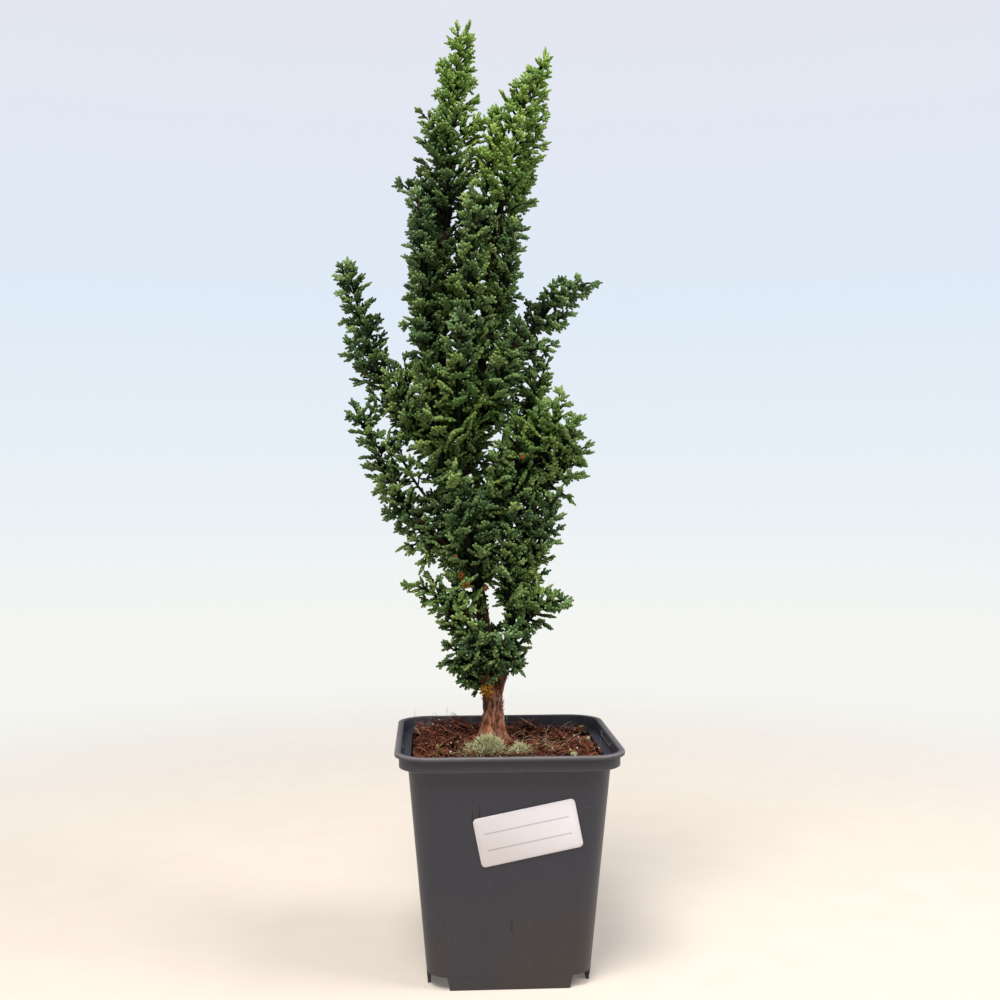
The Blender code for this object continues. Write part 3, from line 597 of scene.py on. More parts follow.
SIDE_SHOOTS = (
    SideShoot((-0.0205, 0.002, 0.336), (-0.0335, 0.001, 0.350), 0.0050),
    SideShoot((-0.0190, 0.001, 0.344), (-0.0085, -0.002, 0.348), 0.0042),
    SideShoot((-0.0190, 0.001, 0.374), (-0.0195, 0.000, 0.3840), 0.0034),
    SideShoot((-0.0185, 0.001, 0.359), (-0.0240, 0.000, 0.3690), 0.0044),
    SideShoot((0.0060, -0.003, 0.338), (0.0148, -0.002, 0.3490), 0.0048),
    SideShoot((-0.0290, 0.004, 0.312), (-0.0345, 0.003, 0.3235), 0.0054),
    SideShoot((-0.0270, 0.005, 0.244), (-0.0365, 0.003, 0.267), 0.0062),
    SideShoot((-0.0160, -0.001, 0.142), (-0.0225, -0.002, 0.1570), 0.0052),
    SideShoot((0.0060, -0.001, 0.145), (0.0150, -0.003, 0.1520), 0.0052),
    SideShoot((-0.0520, -0.002, 0.210), (-0.0440, -0.003, 0.2160), 0.0044),
    SideShoot((-0.0400, 0.006, 0.222), (-0.0415, 0.000, 0.246), 0.0078),
    SideShoot((-0.0420, 0.006, 0.222), (-0.0540, 0.004, 0.234), 0.0048),
    SideShoot((-0.0300, 0.000, 0.176), (-0.0465, -0.002, 0.184), 0.0066),
    SideShoot((-0.0270, 0.000, 0.173), (-0.0400, -0.003, 0.172), 0.0058),
    SideShoot((-0.0180, 0.006, 0.182), (-0.0112, 0.003, 0.199), 0.0078),
    SideShoot((0.0130, -0.003, 0.196), (0.0290, -0.004, 0.221), 0.0078),
    SideShoot((0.0070, 0.003, 0.253), (0.0180, 0.001, 0.2550), 0.0060),
    SideShoot((0.0140, 0.003, 0.263), (0.0250, 0.001, 0.2670), 0.0056),
    SideShoot((-0.0220, -0.001, 0.143), (-0.0300, -0.003, 0.157), 0.0056),
    SideShoot((-0.0120, -0.001, 0.120), (-0.0225, -0.004, 0.130), 0.0056),
    SideShoot((-0.0120, -0.001, 0.117), (-0.0160, -0.004, 0.1165), 0.0034),
    SideShoot((0.0010, 0.000, 0.125), (0.0050, -0.001, 0.1215), 0.0040),
    SideShoot((0.0000, -0.001, 0.123), (0.0050, -0.006, 0.138), 0.0066),
    SideShoot((0.0015, -0.001, 0.134), (0.0045, -0.006, 0.149), 0.0052),
    SideShoot((0.0080, 0.002, 0.224), (0.0170, 0.000, 0.246), 0.0078),
    SideShoot((0.0120, -0.006, 0.206), (0.0130, -0.014, 0.226), 0.0080),
    SideShoot((0.0200, -0.006, 0.204), (0.0270, -0.013, 0.220), 0.0074),
    SideShoot((-0.0185, 0.001, 0.359), (-0.0255, 0.000, 0.3690), 0.0042),
    SideShoot((0.0075, -0.003, 0.350), (0.0050, -0.002, 0.3600), 0.0050),
    SideShoot((0.0130, -0.003, 0.361), (0.0160, -0.002, 0.3725), 0.0042),
    SideShoot((-0.0640, 0.010, 0.281), (-0.0672, 0.009, 0.2865), 0.0044),
    SideShoot((-0.0590, -0.001, 0.220), (-0.0545, -0.002, 0.2275), 0.0052),
    SideShoot((-0.0040, -0.002, 0.119), (-0.0010, -0.010, 0.1330), 0.0072),
)


@dataclass(frozen=True)
class Clearing:
    """An oval free of leaves, where the light shows through from front to back."""

    x: float
    z: float
    half_width: float
    half_height: float

    def is_outside(self, x: np.ndarray, z: np.ndarray, more: float = 0.0) -> np.ndarray:
        """True for places outside the oval, once it is wider by so much more on each side."""
        return np.hypot((x - self.x) / (self.half_width + more), (z - self.z) / self.half_height) > 1


CLEARINGS = (
    Clearing(-0.0058, 0.1465, 0.0044, 0.0112),
    Clearing(0.0062, 0.2690, 0.0032, 0.0075),
    Clearing(-0.0353, 0.1950, 0.0038, 0.0042),
    Clearing(-0.0480, 0.2220, 0.0036, 0.0042),
    Clearing(-0.0420, 0.2110, 0.0046, 0.0034),
    Clearing(-0.0285, 0.1662, 0.0030, 0.0045),
)


@dataclass(frozen=True)
class FreshPlace:
    """A part of the tree whose leaves are fresher: its x and z, its reach, and how much fresher."""

    place: tuple
    reach: float
    strength: float


FRESH_PLACES = (
    FreshPlace((-0.028, 0.222), 0.017, 0.42),
    FreshPlace((0.019, 0.221), 0.021, 0.52),
    FreshPlace((-0.033, 0.154), 0.012, 0.36),
    FreshPlace((-0.002, 0.328), 0.017, 0.32),
    FreshPlace((-0.016, 0.150), 0.013, 0.22),
    FreshPlace((-0.010, 0.272), 0.014, 0.16),
    FreshPlace((0.007, 0.152), 0.012, 0.30),
)

# Tufts of dead scales, as x, y, z and radius
DEAD_TUFTS = (
    (-0.0080, -0.0030, 0.1122, 0.0026),
    (-0.0068, -0.0024, 0.1098, 0.0017),
    (-0.0168, -0.0120, 0.1565, 0.0017),
    (-0.0186, -0.0115, 0.1600, 0.0010),
    (-0.0085, -0.0060, 0.1545, 0.0011),
    (-0.0206, -0.0120, 0.1672, 0.0009),
    (0.0060, -0.0150, 0.2080, 0.0008),
    (-0.0040, 0.0150, 0.1600, 0.0012),
)


@dataclass
class Cords:
    """Scaly cords of foliage in the making, each row of an array being one cord."""

    start: np.ndarray
    way: np.ndarray
    face: np.ndarray
    length: np.ndarray
    width: np.ndarray
    depth: np.ndarray
    tone: np.ndarray


@dataclass
class Fronds:
    """The fronds of a stem, each row of an array being one frond."""

    base: np.ndarray
    along: np.ndarray
    across: np.ndarray
    face: np.ndarray
    arch: np.ndarray
    reach: np.ndarray

    def straight(self, share: np.ndarray) -> np.ndarray:
        """Places at shares of the reach, on a straight line from the base."""
        return self.base[:, None] + (self.reach[:, None] * share)[..., None] * self.along[:, None]

    def arched(self, share: np.ndarray) -> np.ndarray:
        """The same places, moved by the arch times the reach times the share squared."""
        return self.straight(share) + (self.reach[:, None] * share**2)[..., None] * self.arch[:, None]


@dataclass(frozen=True)
class Finger:
    """One cord of a spray: its angle in degrees, its start, length and width as shares, and its teeth."""

    angle: float
    start: float
    length: float
    width: float
    teeth: int


@dataclass(frozen=True)
class Foliage:
    """The leafy stems: a stem, fronds round it, sprays on a frond, and scaly cords on a spray."""

    seed: int = 11
    stem_rows: int = 18
    stem_sides: int = 6
    stem_radius: float = 0.0009
    fewest_fronds: int = 7
    frond_pitch: float = 0.0013
    frond_size: float = 0.95
    frond_widest: float = 1.41
    frond_narrowing: float = 0.56
    frond_size_play: tuple = (0.84, 1.06)
    frond_lean: tuple = (18, 44)
    frond_lean_gain: float = 14
    frond_turn_play: float = 0.3
    frond_roll_play: float = 0.9
    frond_arch: float = 0.12
    frond_droop: float = 0.08
    last_lean: float = 88
    last_size: float = 0.70
    bare_foot_from: float = 0.0088
    rib_radius: float = 0.00062
    spray_pitch: float = 0.0022
    spray_angle: float = 58
    spray_angle_loss: float = 22
    spray_angle_play: float = 9
    spray_tilt_play: float = 0.42
    spray_droop: float = 1.5
    cord_length: float = 0.0058
    cord_length_play: tuple = (0.8, 1.15)
    cord_radius: float = 0.00096
    cord_flatness: float = 0.70
    tooth: float = 0.40
    cord_bend: float = 0.14
    dead_share: float = 0.002
    core_share: float = 0.12
    core_length: float = 0.8
    core_sides: int = 8
    core_top: float = 0.335
    core_fade: float = 0.035
    core_margin: float = 0.002
    dead_cord_radius: float = 0.00050
    fingers: tuple = (
        Finger(0, 0.0, 1.0, 1.0, 4),
        Finger(40, 0.12, 0.70, 0.92, 2),
        Finger(-40, 0.26, 0.66, 0.92, 2),
    )

    def finish(self) -> bpy.types.Material:
        """Deep green scales, yellow-green where young, with paler edges that are partly painted highlight,
        painted shade inside the tree and in the notches, near-black painted shade on the cores, brown stems
        and rusty dead bits.

        Returns:
            The material.
        """
        recipe = Recipe("scaly foliage")
        place = recipe.place()
        young, tone, scale = recipe.value("young"), recipe.value("tone"), recipe.value("scale")
        bark, dead, depth = recipe.value("bark"), recipe.value("dead"), recipe.value("depth")
        blotch = recipe.noise(place, 55.0, 3.0).between(0.36, 0.62)
        # painted shade: sprays deep inside the tree, where depth is low, are mixed towards this dark green
        painted_inner_shade = recipe.mix(blotch, (0.010, 0.040, 0.024), (0.026, 0.066, 0.020))
        lit = recipe.mix(blotch, (0.275, 0.455, 0.175), (0.400, 0.560, 0.110))
        outer = recipe.mix(tone**2.1, (0.038, 0.112, 0.031), lit)
        fresh = recipe.mix(tone, (0.130, 0.300, 0.030), (0.480, 0.680, 0.120))
        grown = recipe.mix((depth * (0.22 + 0.98 * tone)).clipped(), painted_inner_shade, outer)
        leaf = recipe.mix(young, grown, fresh)
        # paler tooth tips, more so on the outer sprays: partly the scales' own paler edges, partly painted
        # highlight
        pale = recipe.mix(scale * depth * (0.14 + 0.40 * tone), leaf, (0.465, 0.615, 0.270))
        # painted shade in the notches between the scale teeth
        painted_notch_shade = recipe.mix((1 - scale) * 0.55, pale, (0.010, 0.030, 0.012))
        flecks = recipe.noise(place, 900.0, 2.0)
        mottled = recipe.mix(flecks.between(0.62, 0.75) * 0.35, painted_notch_shade, (0.012, 0.040, 0.018))
        rusty = recipe.mix(recipe.noise(place, 700.0), (0.110, 0.035, 0.010), (0.300, 0.120, 0.030))
        brown = recipe.mix(recipe.noise(place, 500.0), (0.030, 0.022, 0.012), (0.075, 0.055, 0.025))
        twig = recipe.mix(young, brown, (0.150, 0.170, 0.050))
        # painted shade: where depth is near 0, on the cores and on the ribs and bare stems where they are not
        # brown, the colour goes near black
        inside = recipe.mix(depth.between(0.02, 0.14), (0.003, 0.007, 0.003), mottled)
        colour = recipe.mix(bark, recipe.mix(dead, inside, rusty), twig)
        return recipe.finished(colour, 0.42 + 0.25 * flecks, flecks + scale, 0.00012, 0.13)

    def start_of(self, stem: LeafyStem, line: np.ndarray) -> tuple[np.ndarray, np.ndarray]:
        """Where a stem leaves its limb, and which way.

        Args:
            stem: the leafy stem.
            line: rows of x, y, z and radius along its limb.

        Returns:
            The place on the limb's middle line, and the way as a unit vector.
        """
        points = line[:, :3]
        if stem.leaves_at >= points[-1, 2]:
            return points[-1], unit(points[-1] - points[-2])
        above = int(np.argmax(points[:, 2] > stem.leaves_at))
        low, high = points[above - 1], points[above]
        start = low + (high - low) * (stem.leaves_at - low[2]) / (high[2] - low[2])
        along = unit(high - low)
        away = np.array(stem.tip) - start
        return start, unit(away - along * (away @ along))

    def stem_line(self, stem: LeafyStem) -> np.ndarray:
        """The stem's middle line: a Bezier curve that leaves the limb sideways and turns up to the tip.

        Args:
            stem: the leafy stem.

        Returns:
            Points along the line, as rows by three.
        """
        first, way = self.start_of(stem, line_of(stem.limb, 2))
        tip = np.array(stem.tip)
        span = np.linalg.norm(tip - first)
        flat = unit((tip - first) * (1, 1, 0))
        rise = math.radians(stem.rise)
        finish = unit(flat * math.cos(rise) + UP * math.sin(rise))
        leaving, arriving = first + way * span * 0.25, tip - finish * span * 0.38
        t = np.linspace(0, 1, self.stem_rows)[:, None]
        keep = 1 - t
        return keep**3 * first + 3 * keep**2 * t * leaving + 3 * keep * t**2 * arriving + t**3 * tip

    def values(self, **given) -> dict:
        """Every named value that the finish reads: the given ones, and 0 for the rest."""
        return {**dict.fromkeys(("young", "tone", "scale", "bark", "dead", "depth"), 0.0), **given}

    def fronds_of(self, stem: LeafyStem, line: np.ndarray, rng: np.random.Generator) -> Fronds:
        """The fronds of a stem, from its foot to its tip.

        A frond leaves the stem a golden angle after the one below it, leans on along the stem, and arches
        down. Its size is the stem's spread, times shares that fall off along the stem. The last one goes on
        from the stem's end.

        Args:
            stem: the leafy stem.
            line: points along it.
            rng: the stem's own dice.

        Returns:
            The fronds.
        """
        length = np.linalg.norm(np.diff(line, axis=0), axis=1).sum()
        count = max(self.fewest_fronds, round(length / self.frond_pitch))
        share = 0.05 + 0.95 * (np.arange(count) + rng.uniform(-0.3, 0.3, count) + 0.5) / count
        share[-1] = 1.0
        at = np.clip(share, 0, 1) * (len(line) - 1)
        low = np.minimum(at.astype(int), len(line) - 2)
        base = line[low] + (line[low + 1] - line[low]) * (at - low)[:, None]
        way = unit(line[low + 1] - line[low])
        side = square_to(way)
        play = self.frond_turn_play
        turn = np.arange(count) * GOLDEN_ANGLE + rng.uniform(0, math.tau) + rng.uniform(-play, play, count)
        radial = side * np.cos(turn)[:, None] + np.cross(way, side) * np.sin(turn)[:, None]
        size = stem.full * stem.spread * (self.frond_widest - self.frond_narrowing * share**2)
        size = self.frond_size * (size * (0.78 + 0.22 * np.minimum(1, share / 0.3)))
        size = size * (1 - stem.point * share**3) * rng.uniform(*self.frond_size_play, count)
        size[-1] = self.last_size * stem.spread * min(1, stem.full)
        lean = np.radians(rng.uniform(*self.frond_lean, count) + self.frond_lean_gain * share)
        lean[-1] = math.radians(self.last_lean)
        along = unit(radial * np.cos(lean)[:, None] + way * np.sin(lean)[:, None])
        roll = rng.uniform(-self.frond_roll_play, self.frond_roll_play, count)[:, None]
        level = np.cross(way, radial)
        across = level * np.cos(roll) + np.cross(along, level) * np.sin(roll)
        across = unit(across - along * (across * along).sum(-1, keepdims=True))
        face = np.cross(along, across)
        arch = self.frond_arch * face - self.frond_droop * UP
        reach = np.maximum(size - 0.8 * self.cord_length, 0.4 * size)
        return Fronds(base, along, across, face, arch, reach)

    def cords_of(self, fronds: Fronds, rng: np.random.Generator) -> list[Cords]:
        """Every cord of a stem, by finger of its spray.

        The sprays stand left and right of a frond by turns, with one at its end, and each is a cord with a
        shorter one on either side. A long frond is bare at its foot, and no spray stands in a clearing.

        Args:
            fronds: the stem's fronds.
            rng: the stem's own dice.

        Returns:
            The cords, one group for each finger.
        """
        along, face = fronds.along[:, None], fronds.face[:, None]
        reach = fronds.reach[:, None]
        count, sprays = len(reach), int(np.ceil(reach.max() / self.spray_pitch)) + 1
        number = np.arange(sprays)[None, :]
        u = (number + rng.uniform(-0.25, 0.25, (count, sprays)) + 0.9) * self.spray_pitch / reach
        wanted = number <= np.argmax(u >= 1, axis=1)[:, None]
        wanted[:, 0] &= fronds.reach < self.bare_foot_from
        u = np.minimum(u, 1.0)
        reached = fronds.straight(u)
        for clearing in CLEARINGS:
            wanted &= clearing.is_outside(reached[..., 0], reached[..., 2])

        play = self.spray_angle_play
        spread = self.spray_angle - self.spray_angle_loss * u + rng.uniform(-play, play, u.shape)
        angle = (-1.0) ** number * np.radians(spread) * ~(u >= 1)
        tilt = rng.uniform(-self.spray_tilt_play, self.spray_tilt_play, u.shape)[..., None]
        origin = fronds.arched(u)
        heading = along * np.cos(angle)[..., None] + fronds.across[:, None] * np.sin(angle)[..., None]
        normal = unit(face - heading * tilt)
        heading = unit(heading + face * tilt - self.spray_droop * self.frond_droop * u[..., None] * UP)
        long = self.cord_length * rng.uniform(*self.cord_length_play, u.shape) * (1.08 - 0.28 * u)
        tone = rng.uniform(0, 1, (count, 1)) * 0.5 + rng.uniform(0, 0.5, u.shape)

        beside = np.cross(normal, heading)
        kinds = []
        for finger in self.fingers:
            bent = math.radians(finger.angle)
            kinds.append(Cords(
                (origin + heading * (long * finger.start)[..., None])[wanted],
                (heading * math.cos(bent) + beside * math.sin(bent))[wanted],
                normal[wanted],
                (long * finger.length * rng.uniform(0.85, 1.15, long.shape))[wanted],
                np.full(wanted.sum(), self.cord_radius * finger.width),
                # depth: how far out along its frond a spray stands; the finish paints shade where it is low
                np.clip(u + 0.15, 0, 1)[wanted],
                tone[wanted],
            ))
        return kinds

    def ribs(self, fronds: Fronds) -> Shape:
        """The thin rib of each frond, brown at its foot: a tube along the arched line.

        Args:
            fronds: the stem's fronds.

        Returns:
            The ribs as one surface.
        """
        t = np.linspace(0, 1, 4)[None]
        radius = self.rib_radius * (1 - 0.45 * t)[..., None]
        values = self.values(tone=0.5, bark=0.55 * (1 - t)[..., None])
        return sweep(fronds.arched(t), radius, fronds.across, 3, **values)

    def youth(self, points: np.ndarray) -> np.ndarray:
        """How yellow-green the growth is at each point: the tips of the two leaders most of all.

        Args:
            points: where to work it out, as any shape by three.

        Returns:
            A number from 0 to 1 for each point.
        """
        x, z = points[..., 0], points[..., 2]
        starts = np.interp(x, (-0.018, -0.008, 0.005, 0.012), (0.326, 0.298, 0.298, 0.320))
        young = 0.90 * np.clip((z - starts) / 0.042, 0, 1) + 0.10 * waves(points, 0.030, 3)
        for fresh in FRESH_PLACES:
            young = young + fresh.strength * bell(x, z, fresh.place, fresh.reach)
        return np.clip(young - 0.06, 0, 1)

    def cord_shape(self, cords: Cords, teeth: int, rng: np.random.Generator) -> Shape:
        """The cords as one surface.

        A cord is a flat tube. Its rings stand in pairs, a wide one and just past it a narrow one, so that the
        edge is toothed as overlapping scale leaves are, and the last one closes to a point.

        Args:
            cords: the cords.
            teeth: how many pairs of rings a cord has.
            rng: the stem's own dice.

        Returns:
            The surface, with its named values.
        """
        wide = (np.arange(teeth) + 0.64) / teeth
        ends = (np.arange(teeth) + 1.0) / teeth
        t = np.concatenate([[0.0], np.stack([wide, ends], 1).reshape(-1)])[None, :, None]
        path = cords.start[:, None] + t * (cords.length[:, None, None] * cords.way[:, None])
        bend = self.cord_bend * rng.uniform(-0.6, 1.2, len(cords.length))[:, None, None]
        path = path + bend * t**2 * (cords.length[:, None, None] * cords.face[:, None])
        outline = np.interp(t, (0, 0.25, 0.6, 0.88, 1), (0.60, 1.05, 0.98, 0.66, 0.10))
        at_tooth = (np.arange(2 * teeth + 1) % 2)[None, :, None]
        sideways = np.array((1.0, 0.3, 0.3))
        swell = 1 + self.tooth * (2 * at_tooth - 1) * (0.4 + 0.6 * sideways)
        flat = self.cord_flatness + (1 - self.cord_flatness) * sideways
        reach = cords.width[:, None, None] * outline * swell * flat
        dead = (rng.uniform(0, 1, len(cords.length)) < self.dead_share * (cords.depth < 0.7))[:, None, None]
        return sweep(
            path,
            reach,
            np.cross(cords.face, cords.way),
            3,
            young=np.clip(self.youth(path) + 0.10 * t[..., 0] * cords.depth[:, None], 0, 1)[..., None],
            tone=cords.tone[:, None, None],
            scale=at_tooth * (0.4 + 0.6 * t),
            bark=0.0,
            dead=dead * 1.0,
            depth=cords.depth[:, None, None],
        )

    def core(self, stem: LeafyStem, line: np.ndarray, seed: int) -> Shape:
        """A rough tube round a stem that ends short of the leaders' tips: it stands for the tangle of old
        twigs, and its near-black colour is painted shade.

        Its reach at a point is a share of the stem's spread, times one plus two random waves.

        Args:
            stem: the leafy stem.
            line: points along it.
            seed: sets its waves.

        Returns:
            The surface.
        """
        line = line[: round(self.core_length * len(line))]
        share = np.linspace(0, 1, len(line))[:, None]
        around = line[:, None] + 0.004 * circle(self.core_sides)
        rough = 1 + 0.20 * waves(around, 0.007, seed) + 0.15 * waves(around, 0.0035, seed + 1)
        low = np.clip((self.core_top - line[:, 2:]) / self.core_fade, 0, 1)
        for clearing in CLEARINGS:
            low = low * clearing.is_outside(line[:, :1], line[:, 2:], self.core_margin)
        profile = np.interp(share, (0, 0.2, 0.6, 0.9, 1), (0.6, 1.0, 0.9, 0.55, 0.1))
        reach = 0.0005 + self.core_share * stem.spread * profile * low * rough
        side = square_to(unit(line[1] - line[0]))[None]
        return sweep(line[None], reach[None], side, self.core_sides, **self.values())

    def leaves_on(self, stem: LeafyStem, line: np.ndarray, seed: int) -> list[Shape]:
        """The ribs and the scaly cords of every frond along a line.

        Args:
            stem: the leafy stem, for its spread.
            line: points along it.
            seed: sets its dice.

        Returns:
            The surfaces.
        """
        rng = np.random.default_rng(seed)
        fronds = self.fronds_of(stem, line, rng)
        kinds = self.cords_of(fronds, rng)
        cords = [self.cord_shape(kind, finger.teeth, rng) for kind, finger in zip(kinds, self.fingers)]
        return [self.ribs(fronds), self.core(stem, line, seed), *cords]

    def bare(self, line: np.ndarray, share: float) -> Shape:
        """A stem without its leaves, brown at its foot and greener at its tip.

        Args:
            line: points along it.
            share: its thickness as a share of a full stem's.

        Returns:
            The surface.
        """
        t = np.linspace(0, 1, len(line))[None, :, None]
        values = self.values(young=0.4 * t, tone=0.5, bark=1 - 0.7 * t)
        side = square_to(unit(line[1] - line[0]))[None]
        return sweep(line[None], share * self.stem_radius * (1 - 0.5 * t), side, self.stem_sides, **values)

    def dead_finish(self) -> bpy.types.Material:
        """Orange and rusty scales, yellower at their tips.

        Returns:
            The material.
        """
        recipe = Recipe("dead scales")
        tone, scale = recipe.value("tone"), recipe.value("scale")
        rusty = recipe.mix(tone, (0.160, 0.046, 0.012), (0.950, 0.430, 0.050))
        colour = recipe.mix(scale * tone, rusty, (1.000, 0.640, 0.150))
        return recipe.finished(colour, 0.70, recipe.noise(recipe.place(), 900.0), 0.0001, 0.15)

    def dead_tufts(self) -> Shape:
        """Clusters of short dead cords that point out from their middles.

        Returns:
            The tufts as one surface.
        """
        rng = np.random.default_rng(self.seed)
        tufts = []
        for *middle, radius in DEAD_TUFTS:
            count = round(110 * (radius / 0.0030) ** 1.3)
            way = unit(rng.normal(size=(count, 3)) - (0, 0.4, 0))
            face = unit(np.cross(way, rng.normal(size=(count, 3))))
            start = np.array(middle) + way * radius * rng.uniform(0.2, 0.8, (count, 1))
            length = rng.uniform(0.25, 0.45, count) * radius + 0.0005
            tone = rng.uniform(0, 1, count) * min(1, radius / 0.0025) ** 2
            width, depth = np.full(count, self.dead_cord_radius), np.ones(count)
            cords = Cords(start, way, face, length, width, depth, tone)
            tufts.append(self.cord_shape(cords, 2, rng))
        return joined(tufts)

    def build(self) -> None:
        """Makes each leafy stem in place of its node, the small shoots on the limbs, and the dead tufts."""
        finish = self.finish()
        add_piece("dead_tufts", self.dead_tufts(), self.dead_finish())
        for i, shoot in enumerate(SHOOTS):
            line = line_of(shoot.limb, 4)[:, :3]
            line = line[(line[:, 2] > shoot.low) & (line[:, 2] < shoot.high)]
            stem = LeafyStem(shoot.limb, shoot.limb, shoot.low, tuple(line[-1]), shoot.spread)
            leaves = self.leaves_on(stem, line, self.seed * 200 + i)
            add_piece(f"shoots_{shoot.limb}", joined(leaves), finish)
        small = []
        for i, shoot in enumerate(SIDE_SHOOTS):
            stem = LeafyStem("side", "trunk", 0.0, shoot.tip, shoot.spread)
            line = np.linspace(shoot.start, shoot.tip, 6)
            small += [self.bare(line, 0.5), *self.leaves_on(stem, line, self.seed * 300 + i)]
        add_piece("shoots_side", joined(small), finish)
        for i, stem in enumerate(LEAFY_STEMS):
            line = self.stem_line(stem)
            leaves = joined([self.bare(line, 1.0), *self.leaves_on(stem, line, self.seed * 100 + i)])
            add_piece(f"leaves_{stem.name}", leaves, finish, stem.name)


# The pot and its label
def rounded_squares(profile: np.ndarray, steps: int) -> np.ndarray:
    """Outlines of squares with round corners, one for each row of a profile.

    Args:
        profile: rows of half width, corner radius and height.
        steps: spans in a round corner.

    Returns:
        Points as rows by corners by three, anticlockwise from above, each side with a point in its middle.
    """
    half, corner, height = (profile[:, i, None] for i in range(3))
    turn = np.linspace(0, math.pi / 2, steps + 1)[None]
    arc = np.stack([half - corner + corner * np.cos(turn), half - corner + corner * np.sin(turn)], -1)
    middle = np.stack([half, 0 * half], -1)
    quarter = np.concatenate([middle, arc], axis=1)
    outline = np.concatenate([quarter @ quarter_turn(times)[:2, :2] for times in range(4)], axis=1)
    heights = np.broadcast_to(height, outline.shape[:2])[..., None]
    return np.concatenate([outline, heights], axis=-1)


def softened(profile: np.ndarray, radius: float, steps: int = 3) -> np.ndarray:
    """A profile with its inner corners rounded: each gives way to a curve that starts a radius before it.

    Args:
        profile: rows of half width, corner radius and height.
        radius: how far from a corner its curve starts and ends.
        steps: spans in a curve.

    Returns:
        The rows of the rounded profile.
    """
    rows = [profile[:1]]
    t = np.linspace(0, 1, steps + 1)[:, None]
    for before, here, after in zip(profile[:-2], profile[1:-1], profile[2:]):
        back, on = before - here, after - here
        start = here + back * min(0.45, radius / np.linalg.norm(back))
        end = here + on * min(0.45, radius / np.linalg.norm(on))
        rows.append((1 - t) ** 2 * start + 2 * t * (1 - t) * here + t**2 * end)
    rows.append(profile[-1:])
    return np.concatenate(rows)


def lofted(rings: np.ndarray, caps: bool = True, **values) -> Shape:
    """A surface through rings of points, closed round each ring.

    Args:
        rings: the points, as rings by corners by three.
        caps: true where the first and the last ring are filled.
        values: named numbers, in any shape that spreads to rings by corners.

    Returns:
        The surface.
    """
    rows, sides, _ = rings.shape
    faces = tube_faces(1, rows, sides)
    spread = {name: np.broadcast_to(value, (rows, sides)).reshape(-1) for name, value in values.items()}
    return Shape(rings.reshape(-1, 3), faces if caps else faces[:1], spread)


def plate(outline: np.ndarray, thickness: float, edge: float) -> np.ndarray:
    """A flat plate with softened edges, from z = 0 to its thickness.

    Args:
        outline: its corners as rows of x and y, round the origin.
        thickness: how thick it is.
        edge: how far its softened edge reaches in.

    Returns:
        The points, as four rings by corners by three.
    """
    inner = outline * (1 - edge / np.abs(outline).max(axis=0))
    levels = ((inner, 0.0), (outline, edge), (outline, thickness - edge), (inner, thickness))
    return np.stack([np.column_stack([ring, np.full(len(ring), z)]) for ring, z in levels])


def turned(points: np.ndarray, across: np.ndarray, up: np.ndarray, centre: np.ndarray) -> np.ndarray:
    """Points moved from the xy plane to a plane through centre, x lying along across and y along up."""
    return centre + points[..., :1] * across + points[..., 1:2] * up + points[..., 2:] * np.cross(across, up)


